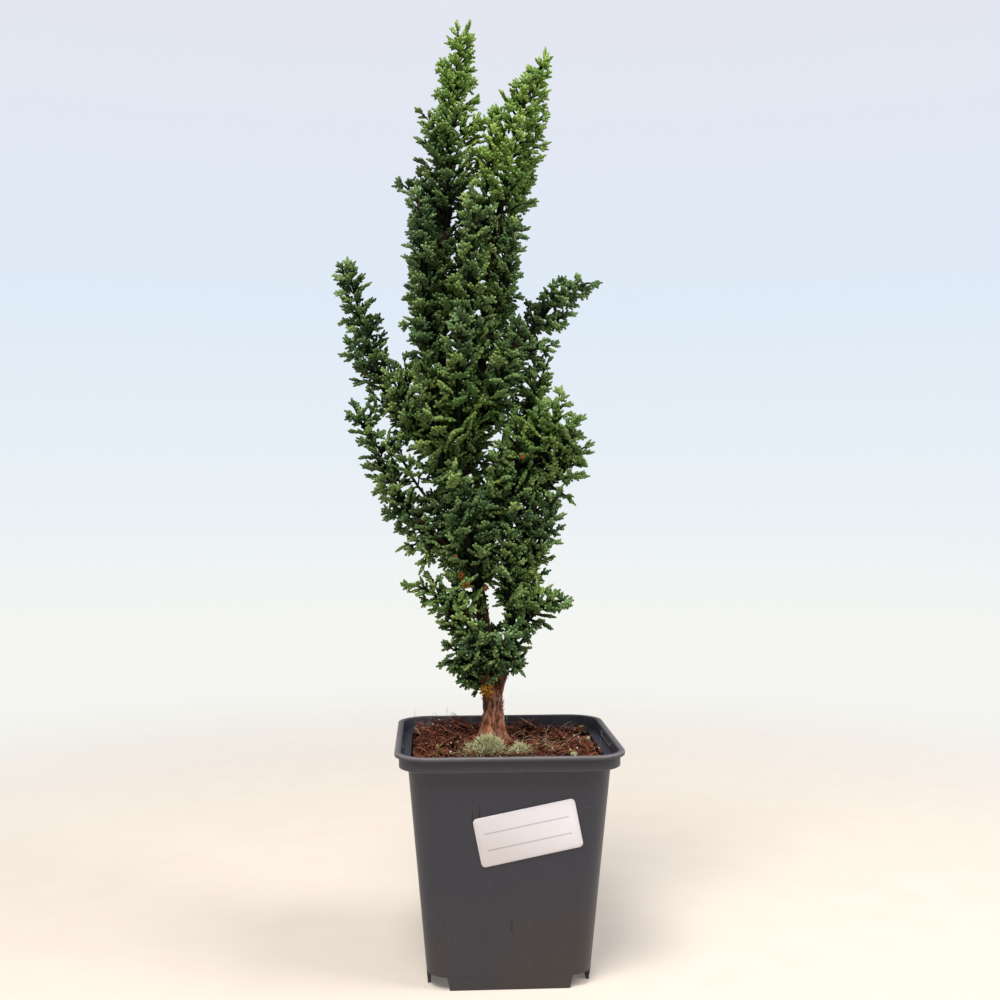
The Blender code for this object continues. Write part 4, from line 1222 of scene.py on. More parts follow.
@dataclass(frozen=True)
class Pot:
    """The tapered square pot: its shell, drained floor, skirts and ribs, and the marks inside its collar."""

    height: float = 0.093
    lip_width: float = 0.090
    lip_corner: float = 0.014
    lip_thickness: float = 0.0016
    lip_top_width: float = 0.0025
    collar_width: float = 0.0865
    collar_corner: float = 0.0125
    collar_foot: float = 0.087
    body_top_width: float = 0.0796
    body_top_corner: float = 0.011
    body_bottom_width: float = 0.064
    body_bottom_corner: float = 0.009
    body_middle: float = 0.045
    wall: float = 0.0012
    floor_top: float = 0.0068
    notch_height: float = 0.0053
    corner_steps: int = 12
    edge: float = 0.00035
    # reaches of the paler bands at the collar foot and on the lip, partly scuffs and partly painted highlight
    wear_and_highlight_reach: float = 0.0006
    lip_wear_and_highlight_reach: float = 0.0007
    skirt_half_top: float = 0.0246
    skirt_half_ground: float = 0.0234
    skirt_overlap: float = 0.0006
    hole_radius: float = 0.0030
    hole_place: float = 0.0185
    rib: float = 0.0016
    rib_overlap: float = 0.0007
    boss: float = 0.006
    boss_sides: int = 32
    foot_edge: float = 0.0002
    boss_edge: float = 0.0003
    mark_half: float = 0.0130
    mark_low: float = 0.0899
    mark_high: float = 0.0917
    mark_radius: float = 0.00028
    mark_lean: float = 0.09

    def half(self, z: float) -> float:
        """Half the body's outer width at a height."""
        widening = self.body_top_width - self.body_bottom_width
        return (self.body_bottom_width + widening * z / self.collar_foot) / 2

    def corner(self, z: float) -> float:
        """The body's outer corner radius at a height."""
        widening = self.body_top_corner - self.body_bottom_corner
        return self.body_bottom_corner + widening * z / self.collar_foot

    def outline(self, z: float, inset: float = 0.0) -> tuple[float, float, float]:
        """Half width, corner radius and height of the body at a height, inside its outer face by an inset."""
        return self.half(z) - inset, self.corner(z) - inset, z

    def ways(self) -> list[tuple[np.ndarray, np.ndarray]]:
        """For each of the four sides, the way out through it and the way along it."""
        ways = ((0, -1), (1, 0), (0, 1), (-1, 0))
        return [(np.array((x, y, 0.0)), np.array((-y, x, 0.0))) for x, y in ways]

    def finish(self) -> bpy.types.Material:
        """Anthracite plastic: faint flow lines, scuffs, pale dust and specks, a paler lip that is partly
        scuffing and partly painted highlight, and a painted brownish glow of light thrown up from the floor,
        low down and more to the right.

        Returns:
            The material.
        """
        recipe = Recipe("anthracite plastic")
        place = recipe.place()
        height = recipe.axis(place, 2)
        across = recipe.axis(place, 0)
        cloud = recipe.noise(place, 28.0, 4.0)
        flow = recipe.noise(recipe.stretched(place, (900.0, 900.0, 14.0)), 1.0, 2.0)
        fine = recipe.noise(place, 2600.0, 2.0)
        base = recipe.mix(cloud, (0.0190, 0.0205, 0.0325), (0.0285, 0.0305, 0.0460))
        # painted reflection: a brownish glow of light thrown up from the floor, on the low part and more to
        # the right
        painted_floor_bounce = 0.35 + across.between(-0.03, 0.03) + cloud.between(0.35, 0.62)
        painted_floor_bounce = height.between(0.055, 0.002) * painted_floor_bounce * 0.42
        with_painted_bounce = recipe.mix(painted_floor_bounce.clipped(), base, (0.036, 0.025, 0.0225))
        scratch = recipe.noise(recipe.stretched(place, (620.0, 620.0, 16.0)), 1.0, 1.0, 0.3)
        where = recipe.noise(place, 32.0).between(0.50, 0.60) * across.between(0.012, -0.004)
        scored = recipe.mix(scratch.between(0.70, 0.735) * where, with_painted_bounce, (0.006, 0.006, 0.008))
        lined = recipe.mix(flow.between(0.52, 0.80) * 0.16, scored, (0.052, 0.050, 0.056))
        low_right = 0.25 + across.between(-0.02, 0.035) * height.between(0.07, 0.01)
        dust = recipe.noise(place, 240.0, 5.0, 0.7).between(0.60, 0.78) * low_right
        dusted = recipe.mix(dust * 0.30, lined, (0.110, 0.100, 0.092))
        specks = recipe.noise(place, 1500.0, 1.0).between(0.775, 0.83)
        specks = specks * recipe.noise(place, 70.0).between(0.42, 0.62)
        specked = recipe.mix((specks * (0.4 + low_right)).clipped(), dusted, (0.360, 0.330, 0.290))
        # paler lip top and edges, collar foot and marks: partly scuffing, partly painted highlight
        worn = recipe.value("worn") * (0.55 + 0.5 * recipe.noise(place, 300.0, 4.0)).clipped()
        colour = recipe.mix(worn, specked, (0.330, 0.300, 0.290))
        rough = 0.36 + 0.14 * cloud + 0.12 * worn + 0.10 * dust
        bump = 0.7 * fine + 0.35 * flow + 0.6 * dust
        return recipe.finished(colour, rough, bump, 0.00004)

    def shell(self) -> Shape:
        """Walls, collar and lip: one profile carried round the pot, from its outer foot to its inner foot.

        Returns:
            The surface.
        """
        ledge = self.collar_foot + self.wall
        lip_foot = self.height - self.lip_thickness
        lip, collar = self.lip_width / 2, self.collar_width / 2
        profile = np.array((
            self.outline(self.notch_height),
            self.outline(self.body_middle),
            self.outline(self.collar_foot),
            (collar, self.collar_corner, self.collar_foot),
            (collar, self.collar_corner, lip_foot),
            (lip, self.lip_corner, lip_foot),
            (lip, self.lip_corner, self.height),
            (lip - self.lip_top_width, self.lip_corner - self.lip_top_width, self.height),
            (collar - self.wall, self.collar_corner - self.wall, ledge),
            self.outline(ledge, self.wall),
            self.outline(self.floor_top, self.wall),
        ))
        rows = softened(profile, self.edge)
        x, z = rows[:, 0], rows[:, 2]
        # the paler band on the lip and at the collar foot is partly scuffing and partly painted highlight
        top = near(z, self.height, self.lip_wear_and_highlight_reach)
        foot = near(z, self.collar_foot, self.wear_and_highlight_reach) * (x > collar - 0.0008)
        worn = np.clip(0.16 * top + 0.84 * near(x, lip, self.wear_and_highlight_reach) * top + 0.22 * foot, 0, 1)
        return lofted(rounded_squares(rows, self.corner_steps), False, worn=worn[:, None])

    def floor(self) -> list[Shape]:
        """The floor in four quarters, each a surface from its outline in to its drain hole and back.

        Returns:
            The four surfaces.
        """
        quarters = []
        for times in range(4):
            rings = []
            for z, wall in ((self.floor_top, self.wall), (self.notch_height, 0.0)):
                row = np.array((self.outline(z, wall),))
                edge = rounded_squares(row, self.corner_steps)[0, : self.corner_steps + 3]
                middle = np.linspace(edge[-1], (0, 0, z), 5)[1:]
                back = np.linspace((0, 0, z), edge[0], 5)[1:-1]
                outline = np.concatenate([edge, middle, back])
                hub = np.array((self.hole_place, self.hole_place, z))
                hole = hub + unit((outline - hub) * (1, 1, 0)) * self.hole_radius
                rings.append((outline, hole))
            (top, top_hole), (bottom, bottom_hole) = rings
            stack = np.stack([bottom, bottom_hole, top_hole, top])[::-1] @ quarter_turn(times)
            quarters.append(lofted(stack, False, worn=0.0))
        return quarters

    def feet(self) -> list[Shape]:
        """The four skirts with slanted ends, and under the floor the two ribs and the boss.

        Returns:
            Their surfaces.
        """
        made = []
        middle = self.notch_height / 2
        lean = (self.half(self.notch_height) - self.half(0)) / self.notch_height
        high, low = middle + self.skirt_overlap, -middle
        wide, narrow = self.skirt_half_top, self.skirt_half_ground
        corners = np.array(((-narrow, low), (narrow, low), (wide, high), (-wide, high)))
        skirt = plate(corners, self.wall, self.foot_edge)
        for out, across in self.ways():
            centre = out * (self.half(middle) - self.wall) + UP * middle
            made.append(lofted(turned(skirt, across, UP + out * lean, centre), worn=0.0))
        under = self.notch_height + self.rib_overlap
        reach = self.half(0) - self.wall / 2
        for x, y in ((reach, self.rib / 2), (self.rib / 2, reach)):
            corners = np.array(((x, y), (-x, y), (-x, -y), (x, -y)))
            made.append(lofted(plate(corners, under, self.foot_edge), worn=0.0))
        disc = self.boss * circle(self.boss_sides)[:, :2]
        made.append(lofted(plate(disc, under, self.boss_edge), worn=0.0))
        return made

    def marks(self) -> list[Shape]:
        """A thin raised line in the shape of a U, half sunk in each inner face of the collar.

        Returns:
            The four lines' surfaces.
        """
        high, low, half = self.mark_high, self.mark_low, self.mark_half
        line = np.array(((-half, high), (-half, low + 0.0003), (-half + 0.0005, low), (0, low)))
        line = np.concatenate([line, line[-2::-1] * (-1, 1)])
        level = line[:, 1:]
        wall = self.collar_width / 2 - self.wall + (level - self.collar_foot - self.wall) * self.mark_lean
        made = []
        for out, across in self.ways():
            path = line[:, :1] * across + wall * out + level * UP
            made.append(sweep(path[None], np.array(self.mark_radius), -out[None], 8, worn=0.25))
        return made

    def build(self) -> None:
        """Makes the pot as one piece."""
        shape = joined([self.shell(), *self.floor(), *self.feet(), *self.marks()])
        add_piece("pot_shell", shape, self.finish(), "pot")


@dataclass(frozen=True)
class Label:
    """The blank white sticker on the pot's front, with two faint ruled lines."""

    width: float = 0.040
    height: float = 0.0195
    corner: float = 0.0017
    corner_steps: int = 8
    thickness: float = 0.0004
    edge: float = 0.00008
    gap: float = 0.00015
    centre_x: float = 0.0065
    centre_z: float = 0.0625
    tilt: float = math.radians(11.5)

    def finish(self) -> bpy.types.Material:
        """White coated paper with pale ruled lines and a slightly darker, blotchy edge.

        Returns:
            The material.
        """
        recipe = Recipe("white label")
        place, across, up = recipe.place(), recipe.value("across"), recipe.value("up")
        fibre = recipe.noise(place, 1500.0, 3.0)
        # darker and blotchy in a band along the edge
        darker_edge = across.maths("ABSOLUTE").between(0.90, 1.0) + up.maths("ABSOLUTE").between(0.86, 1.0)
        darker_edge = (darker_edge * recipe.noise(place, 300.0)).clipped() * 0.6
        paper = recipe.mix(darker_edge, (0.80, 0.760, 0.785), (0.60, 0.55, 0.55))
        inside = across.maths("ABSOLUTE").between(0.84, 0.82)
        rules = [(up - level).maths("ABSOLUTE").between(0.035, 0.020) for level in (0.32, -0.36)]
        ruled = recipe.mix((rules[0] + rules[1]) * inside * 0.55, paper, (0.30, 0.31, 0.33))
        return recipe.finished(ruled, 0.42 + 0.15 * fibre, fibre, 0.00001)

    def build(self) -> None:
        """Makes the label: a plate with round corners, turned to lie on the leaning face."""
        pot = Pot()
        lean = math.atan((pot.body_top_width - pot.body_bottom_width) / 2 / pot.collar_foot)
        turn = turns(4 * self.corner_steps) + math.pi / (4 * self.corner_steps)
        way = np.column_stack([np.cos(turn), np.sin(turn)])
        half = np.array((self.width / 2 - self.corner, self.height / 2 - self.corner))
        rings = plate(np.sign(way) * half + self.corner * way, self.thickness, self.edge) + (0, 0, self.gap)
        sideways = np.array((1.0, 0, 0))
        upwards = np.array((0, -math.sin(lean), math.cos(lean)))
        across = sideways * math.cos(self.tilt) + upwards * math.sin(self.tilt)
        up = upwards * math.cos(self.tilt) - sideways * math.sin(self.tilt)
        centre = np.array((self.centre_x, -pot.half(self.centre_z), self.centre_z))
        values = dict(across=rings[..., 0] / (self.width / 2), up=rings[..., 1] / (self.height / 2))
        shape = lofted(turned(rings, across, up, centre), **values)
        add_piece("label_blank", shape, self.finish(), "label")


# The wood
@dataclass(frozen=True)
class Wood:
    """The trunk with its root flare and the limbs, under flaky, stringy bark."""

    seed: int = 21
    skin_seed: int = 60
    sides: int = 26
    spans: int = 9
    trunk_spans: int = 16
    flare: float = 0.0052
    flare_fall: float = 0.0036
    flare_level: float = 0.0885
    slimmer: float = 0.86
    flare_foot: float = 0.076
    lobes: tuple = ((0.40, 4, 0.6), (0.18, 7, 0.0))
    strips: int = 1500
    strip_length: tuple = (0.0018, 0.0058)
    strip_radius: tuple = (0.00012, 0.00034)
    strip_lift: float = 0.0011

    def finish(self) -> bpy.types.Material:
        """Reddish-brown bark: dark in its cracks as painted shade, pinkish grey where it is rubbed, orange at
        the foot, and near black as painted shade where it runs up inside the foliage.

        Returns:
            The material.
        """
        recipe = Recipe("stringy bark")
        place, tone, lit = recipe.place(), recipe.value("tone"), recipe.value("ridge")
        height = recipe.axis(place, 2)
        strings = recipe.noise(recipe.stretched(place, (1500.0, 1500.0, 260.0)), 1.0, 4.0)
        patch = recipe.noise(place, 170.0, 3.0)
        red = recipe.mix(strings.between(0.34, 0.62), (0.115, 0.036, 0.019), (0.710, 0.305, 0.180))
        grey = recipe.mix(patch.between(0.48, 0.64) * 0.60, red, (0.700, 0.450, 0.340))
        toned = recipe.mix((0.75 - tone).clipped() * 0.45, grey, (0.120, 0.038, 0.018))
        # painted shade: darker in the grooves, where the ridge value is low
        dark = recipe.mix((1 - lit).clipped() * 0.80, toned, (0.025, 0.010, 0.007))
        low = height.between(0.104, 0.090) * 0.60
        rust = recipe.mix(low * (0.4 + 0.6 * tone), dark, (0.330, 0.110, 0.040))
        # painted shade: the bark goes near black above the foot, inside the foliage
        high = height.between(0.122, 0.152) * 0.85
        colour = recipe.mix(high, rust, (0.024, 0.016, 0.010))
        return recipe.finished(colour, 0.80, strings + 0.6 * patch, 0.00035, 0.15)

    def flare_at(self, z: np.ndarray) -> np.ndarray:
        """How much of the root flare there is at a height: all of it up to its level, then ever less."""
        return np.exp(-np.maximum(z - self.flare_level, 0) / self.flare_fall)

    def skin(self, line: np.ndarray, seed: int, flared: bool) -> Shape:
        """One limb's bark.

        The reach at a point is the limb's radius times one plus long upright waves and finer ones. At the
        foot of the trunk it grows by a flare that fades with height, times one plus the waves of its lobes.

        Args:
            line: rows of x, y, z and radius.
            seed: sets its waves.
            flared: true for the trunk.

        Returns:
            The surface.
        """
        turn = turns(self.sides)
        skin = line[:, None, :3] + circle(self.sides) * line[:, None, 3:]
        rough = 0.13 * waves(skin, 0.0042, seed, (1, 1, 4)) + 0.08 * waves(skin, 0.0017, seed + 1, (1, 1, 5))
        reach = line[:, 3:] * (1 + rough)
        if flared:
            reach = reach * self.slimmer
            lobes = sum((share * np.cos(number * turn + start) for share, number, start in self.lobes), 1)
            reach = reach + self.flare * self.flare_at(line[:, 2:3]) * lobes
        side = np.array(((1.0, 0.0, 0.0),))
        # ridge is low in the grooves of the waves, where the finish paints shade
        ridge = np.clip(0.62 + rough * 3.2, 0, 1)
        return sweep(line[None, :, :3], reach[None], side, self.sides, tone=0.5, ridge=ridge[None])

    def strings(self, lines: list[np.ndarray]) -> Shape:
        """Loose strips of bark: slim tubes that lie along a limb and lift off it at the end.

        Args:
            lines: rows of x, y, z and radius for each limb, the trunk's first.

        Returns:
            The strips as one surface.
        """
        rng = np.random.default_rng(self.seed)
        weight = np.array([len(line) * (2.2 if i == 0 else 1.0) for i, line in enumerate(lines)])
        which = rng.choice(len(lines), self.strips, p=weight / weight.sum())
        paths, sides = [], []
        for i, line in enumerate(lines):
            count = int((which == i).sum())
            share = rng.uniform(0, 1, count) ** (2.2 if i == 0 else 1.0) * (len(line) - 2)
            low = share.astype(int)
            at = line[low] + (line[low + 1] - line[low]) * (share - low)[:, None]
            along = unit(line[low + 1, :3] - line[low, :3])
            turn = rng.uniform(0, math.tau, count)
            first = unit(np.cross(along, (0.2, 1.0, 0.1)))
            out = first * np.cos(turn)[:, None] + np.cross(along, first) * np.sin(turn)[:, None]
            fall = self.flare_at(at[:, 2]) * (i == 0)
            reach = at[:, 3] * (self.slimmer if i == 0 else 1.0) * 1.03 + self.flare * fall
            slant = unit(along + np.cross(along, out) * rng.normal(0, 0.28, (count, 1)))
            slope = -(self.flare * fall / self.flare_fall)[:, None] * out * (fall < 0.999)[:, None]
            t = np.linspace(-0.5, 0.5, 4)[None, :, None]
            length = rng.uniform(*self.strip_length, count)[:, None, None]
            lift = self.strip_lift * rng.uniform(-0.1, 1.0, (count, 1, 1)) * (t + 0.5) ** 2
            path = (at[:, :3] + out * reach[:, None])[:, None] + t * length * unit(slant + slope)[:, None]
            paths.append(path + lift * out[:, None])
            sides.append(np.cross(slant, out))
        path, side = np.concatenate(paths), np.concatenate(sides)
        count = len(path)
        radius = rng.uniform(*self.strip_radius, count)[:, None, None]
        taper = np.array((0.5, 1.0, 0.9, 0.3))[None, :, None]
        flat = np.array((1.6, 0.6, 0.6))[None, None, :]
        tone, ridge = rng.uniform(0, 1, count)[:, None, None], rng.uniform(0.55, 1.0, count)[:, None, None]
        return sweep(path, radius * taper * flat, side, 3, tone=tone, ridge=ridge)

    def build(self) -> None:
        """Makes the wood as one piece."""
        lines = []
        for limb in LIMBS:
            trunk = limb.name == "trunk"
            places = limb.places
            if trunk:
                x, y, _, radius = places[0]
                places = ((x, y, self.flare_foot, radius), *places)
            lines.append(smooth_line(places, self.trunk_spans if trunk else self.spans))
        skins = [self.skin(line, self.skin_seed + 5 * i, i == 0) for i, line in enumerate(lines)]
        shape = joined([*skins, self.strings(lines)])
        add_piece("bark", shape, self.finish(), "wood")


# The soil and what lies on it
@dataclass(frozen=True)
class Soil:
    """The potting soil and its litter: coir, crumbs, white grains, moss, seedlings and hairs."""

    seed: int = 31
    seedling_seed: int = 44
    level: float = 0.0868
    heap: float = 0.0035
    gap: float = 0.0003
    rings: int = 72
    corner_steps: int = 16
    moss_place: tuple = (-0.0085, -0.0155)
    moss_height: float = 0.0054
    moss_spread: float = 0.0046
    small_moss_place: tuple = (0.0035, -0.0160)
    small_moss_height: float = 0.0044
    small_moss_spread: float = 0.0023
    trunk_place: tuple = (-0.0050, 0.0030)
    trunk_rise: float = 0.0015
    trunk_spread: float = 0.010
    trunk_clear: float = 0.0055
    moss_tufts: int = 2600
    fibres: int = 3500
    crumbs: int = 1300
    chips: int = 40
    grains: int = 160
    straws: int = 110
    strewn_straws: int = 50
    hairs: int = 7
    # Single bits of moss, as x, y, height over the soil, radius and tone
    moss_bit_places: tuple = (
        (0.0195, 0.0180, 0.0014, 0.0012, 0.7),
        (0.0269, -0.0174, 0.0014, 0.0012, 0.7),
        (0.0365, 0.0120, 0.0012, 0.0011, 0.5),
        (0.0200, 0.0192, 0.0024, 0.0009, 0.9),
        (0.0262, -0.0166, 0.0024, 0.0008, 0.8),
    )
    seedling_places: tuple = (
        (0.0120, -0.0130),
        (0.0345, 0.0250),
        (0.0085, 0.0100),
        (-0.0290, -0.0285),
        (0.0255, -0.0200),
    )

    def reach(self) -> float:
        """Half the soil's width at its surface."""
        pot = Pot()
        return pot.half(self.level) - pot.wall - self.gap

    def height(self, x: np.ndarray, y: np.ndarray) -> np.ndarray:
        """Height of the surface: a level, a heap at the back left, crumbs, two mounds of moss, and a rise.

        Args:
            x: x of the places.
            y: y of the places.

        Returns:
            The height at each place.
        """
        flat = np.stack([x, y, 0 * x], -1)
        height = self.level + self.heap * np.maximum(0, (y - x) / Pot().body_top_width + 0.15)
        crumbs = 0.0016 * waves(flat, 0.013, 1) + 0.0008 * waves(flat, 0.0045, 2)
        height = height + (crumbs + 0.0005 * waves(flat, 0.0016, 3))
        for place, rise, spread in (
            (self.moss_place, self.moss_height, self.moss_spread),
            (self.small_moss_place, self.small_moss_height, self.small_moss_spread),
            (self.trunk_place, self.trunk_rise, self.trunk_spread),
        ):
            height = height + rise * bell(x, y, place, spread)
        return height

    def on_top(self, flat: np.ndarray, above: float | np.ndarray = 0.0) -> np.ndarray:
        """Places from their x and y, on the surface or so far above it."""
        return np.column_stack([flat, self.height(flat[:, 0], flat[:, 1]) + above])

    def finish(self, name: str, dark: Colour, light: Colour, grain: float) -> bpy.types.Material:
        """A litter finish: each bit has its own tone between two colours, mottled at one scale.

        Args:
            name: the finish's name.
            dark: the colour of the darkest bits.
            light: the colour of the palest.
            grain: the mottling's scale.

        Returns:
            The material.
        """
        recipe = Recipe(name)
        place, tone = recipe.place(), recipe.value("tone")
        mottle = recipe.noise(place, grain, 4.0)
        share = (0.65 * tone + 0.7 * (mottle - 0.5) + 0.15).clipped()
        colour = recipe.mix(share, dark, light)
        return recipe.finished(colour, 0.85, mottle, 0.0003, 0.12)

    def earth(self) -> bpy.types.Material:
        """Near-black peat with reddish crumbs, felted over with pale grey-green moss on the mounds.

        Returns:
            The material.
        """
        recipe = Recipe("dark peat")
        place, mossy = recipe.place(), recipe.value("mossy")
        mottle, fuzz = recipe.noise(place, 900.0, 4.0), recipe.noise(place, 1800.0, 3.0)
        peat = recipe.mix(mottle.between(0.46, 0.78), (0.005, 0.003, 0.002), (0.080, 0.028, 0.014))
        felt = recipe.mix(fuzz.between(0.30, 0.65), (0.120, 0.105, 0.045), (0.520, 0.510, 0.270))
        colour = recipe.mix((mossy + 0.8 * (mottle - 0.5)).between(0.35, 0.60), peat, felt)
        return recipe.finished(colour, 0.90, mottle + fuzz, 0.0005, 0.06)

    def mossy(self, x: np.ndarray, y: np.ndarray) -> np.ndarray:
        """How mossy a place is: 1 on top of the two mounds, and 0 away from them."""
        small = bell(x, y, self.small_moss_place, self.small_moss_spread)
        return np.clip(bell(x, y, self.moss_place, self.moss_spread) + small, 0, 1)

    def body(self) -> Shape:
        """The body of soil: rings up the pot's wall, then in over the surface to the middle.

        Returns:
            The surface.
        """
        pot = Pot()
        levels = (pot.floor_top + self.gap, self.level - 0.003)
        rows = np.array([pot.outline(z, pot.wall + self.gap) for z in levels])
        wall = rounded_squares(rows, self.corner_steps)
        share = np.linspace(1, 0.004, self.rings)[:, None, None]
        top = wall[1:] * np.concatenate([share, share, 0 * share + 1], -1)
        rings = np.concatenate([wall[:1] * (0.02, 0.02, 1), wall, top])
        between = rings + (np.roll(rings, -1, axis=1) - rings) * 0.5
        rings = np.stack([rings, between], axis=2).reshape(len(rings), -1, 3)
        x, y = rings[3:, :, 0], rings[3:, :, 1]
        mossy = self.mossy(x, y)
        pits = 0.0018 * waves(rings[3:] * (1, 1, 0), 0.0042, 5) - 0.0014
        rings[3:, :, 2] = self.height(x, y) + pits * (1 - mossy)
        return lofted(rings, mossy=np.concatenate([np.zeros((3, rings.shape[1])), mossy]))

    def scattered(
        self, count: int, rng: np.random.Generator, above: float = 0.0, clump: float = -9.0,
    ) -> np.ndarray:
        """Random places on the soil's surface, clear of the trunk and the moss.

        Args:
            count: how many.
            rng: dice for them.
            above: how high over the surface.
            clump: they stand only where a random wave is above this.

        Returns:
            The places, as count by three.
        """
        reach = self.reach() - 0.0006
        places = rng.uniform(-reach, reach, (count * 4, 2))
        x, y = places.T
        corner = np.maximum(np.abs(places) - (reach - 0.009), 0)
        clear = np.linalg.norm(corner, axis=1) < 0.009
        clear &= np.hypot(x - self.trunk_place[0], y - self.trunk_place[1]) > self.trunk_clear
        clear &= self.mossy(x, y) < 0.40
        clear &= waves(np.column_stack([places, 0 * x]), 0.0050, 9) > clump
        return self.on_top(places[clear][:count], above)

    def lumps(
        self, places: np.ndarray, size: np.ndarray, tone: np.ndarray, rng: np.random.Generator,
        rows: int, sides: int,
    ) -> Shape:
        """Small rough lumps: short tubes that swell in the middle, each turned its own way.

        Args:
            places: their middles.
            size: their radii.
            tone: how pale they are.
            rng: dice for their turns.
            rows: rings in a lump.
            sides: corners in a ring.

        Returns:
            The lumps as one surface.
        """
        count = len(places)
        way = unit(rng.normal(size=(count, 3)))
        t = np.linspace(-1, 1, rows)[None, :, None]
        size = size[:, None, None]
        path = places[:, None] + t * (size * way[:, None]) * rng.uniform(0.7, 1.2, (count, 1, 1))
        swell = np.sqrt(np.maximum(1 - (0.93 * t) ** 2, 0.02))
        reach = size * swell * rng.uniform(0.75, 1.15, (count, rows, sides))
        side = unit(np.cross(way, rng.normal(size=(count, 3))))
        return sweep(path, reach, side, sides, tone=tone[:, None, None])

    def strands(
        self, places: np.ndarray, length: np.ndarray, radius: np.ndarray, rise: np.ndarray,
        rng: np.random.Generator, rows: int = 5,
    ) -> Shape:
        """Thin curved strands that start at their places.

        A strand's path is its start plus its heading times t, a sideways bend times t squared, and its rise
        times t times one less t, all times its length.

        Args:
            places: where they start.
            length: their lengths.
            radius: their radii.
            rise: how far up they arch, as a share of the length.
            rng: dice for their headings.
            rows: rings in a strand.

        Returns:
            The strands as one surface, each with its own tone.
        """
        count = len(places)
        turn = rng.uniform(0, math.tau, count)
        heading = np.column_stack([np.cos(turn), np.sin(turn), rng.uniform(-0.20, 0.75, count)])
        bend = np.column_stack([-np.sin(turn), np.cos(turn), 0 * turn]) * rng.normal(0, 0.36, (count, 1))
        t = np.linspace(0, 1, rows)[None, :, None]
        arch = UP * (rise[:, None, None] * t * (1 - t) * 2)
        path = places[:, None] + length[:, None, None] * (t * heading[:, None] + t**2 * bend[:, None] + arch)
        limit = self.reach() - 0.0004
        path[..., :2] = np.clip(path[..., :2], -limit, limit)
        taper = np.interp(t[..., 0], (0, 0.2, 0.8, 1), (0.5, 1, 0.9, 0.4))[..., None]
        tone = rng.uniform(0, 1, count)[:, None, None] ** 2.0 * 1.25
        return sweep(path, radius[:, None, None] * taper, np.tile(UP, (count, 1)), 3, tone=tone)

    def moss(self, rng: np.random.Generator) -> Shape:
        """Short tufts that stand out from the two mounds of moss.

        Args:
            rng: the soil's dice.

        Returns:
            The tufts as one surface.
        """
        count = self.moss_tufts
        which = rng.uniform(0, 1, count) < 0.70
        spread = np.where(which, self.moss_spread, self.small_moss_spread)[:, None]
        centre = np.where(which[:, None], self.moss_place, self.small_moss_place)
        flat = centre + rng.normal(0, 0.86, (count, 2)) * spread
        places = self.on_top(flat, -0.0001)
        out = np.column_stack([(flat - centre) / spread * 0.6, np.ones(count)])
        out = unit(out + rng.normal(0, 0.55, (count, 3)))
        t = np.linspace(0, 1, 3)[None, :, None]
        length = rng.uniform(0.0008, 0.0030, count)[:, None, None]
        reach = rng.uniform(0.00007, 0.00014, count)[:, None, None] * (1 - 0.5 * t)
        curl = rng.normal(0, 0.0006, (count, 1, 3)) * t**2
        side = unit(np.cross(out, (0.1, 0.2, 1.0)) + 1e-6)
        tone = rng.uniform(0, 1, count)[:, None, None] * 0.6 + 0.4 * t
        return sweep(places[:, None] + t * length * out[:, None] + curl, reach, side, 3, tone=tone)

    def seedlings(self) -> Shape:
        """Tiny seedlings: a thin stalk with a few slim leaves at its top.

        Returns:
            The seedlings as one surface.
        """
        rng = np.random.default_rng(self.seedling_seed)
        places = self.on_top(np.array(self.seedling_places))
        count = len(places)
        tall = rng.uniform(0.0030, 0.0060, count)[:, None, None]
        t = np.linspace(0, 1, 6)[None, :, None]
        lean = rng.normal(0, 0.30, (count, 1, 3)) * (1, 1, 0)
        stalk = places[:, None] + tall * (t * UP + t**2 * lean)
        side = np.tile((1.0, 0, 0), (count, 1))
        stalks = sweep(stalk, 0.00012 * (1 - 0.3 * t), side, 4, tone=0.45)
        leaves = []
        for turn in (0.3, 2.2, 4.1):
            way = np.array((math.cos(turn), math.sin(turn), 0.55))
            length = rng.uniform(0.0008, 0.0014, count)[:, None, None]
            path = stalk[:, -1:] + t * length * way
            reach = 0.00028 * np.sin(np.pi * np.clip(t * 0.9 + 0.08, 0, 1)) * np.array((1.0, 0.35, 1.0, 0.35))
            across = np.tile((-math.sin(turn), math.cos(turn), 0.0), (count, 1))
            leaves.append(sweep(path, reach, across, 4, tone=0.85))
        return joined([stalks, *leaves])

    def crumb_lumps(self, rng: np.random.Generator) -> Shape:
        """Crumbs of soil, and a few larger chips.

        Args:
            rng: the soil's dice.

        Returns:
            The crumbs and chips as one surface.
        """
        places = self.scattered(self.crumbs, rng)
        count = len(places)
        size = rng.uniform(0.00030, 0.00105, count) * rng.uniform(0.6, 1.2, count)
        crumbs = self.lumps(places, size, rng.uniform(0, 1, count) ** 2 * 0.7, rng, 4, 5)
        places = self.scattered(self.chips, rng, 0.0006)
        size = rng.uniform(0.0005, 0.0011, len(places))
        return joined([crumbs, self.lumps(places, size, rng.uniform(0, 1, len(places)) ** 1.5, rng, 5, 6)])

    def coir(self, rng: np.random.Generator) -> Shape:
        """Short reddish fibres in clumps.

        Args:
            rng: the soil's dice.

        Returns:
            The fibres as one surface.
        """
        places = self.scattered(self.fibres, rng, 0.0002, -0.15)
        count = len(places)
        length, radius = rng.uniform(0.0014, 0.0054, count), rng.uniform(0.00008, 0.00025, count)
        return self.strands(places, length, radius, rng.uniform(-0.2, 0.40, count), rng, 4)

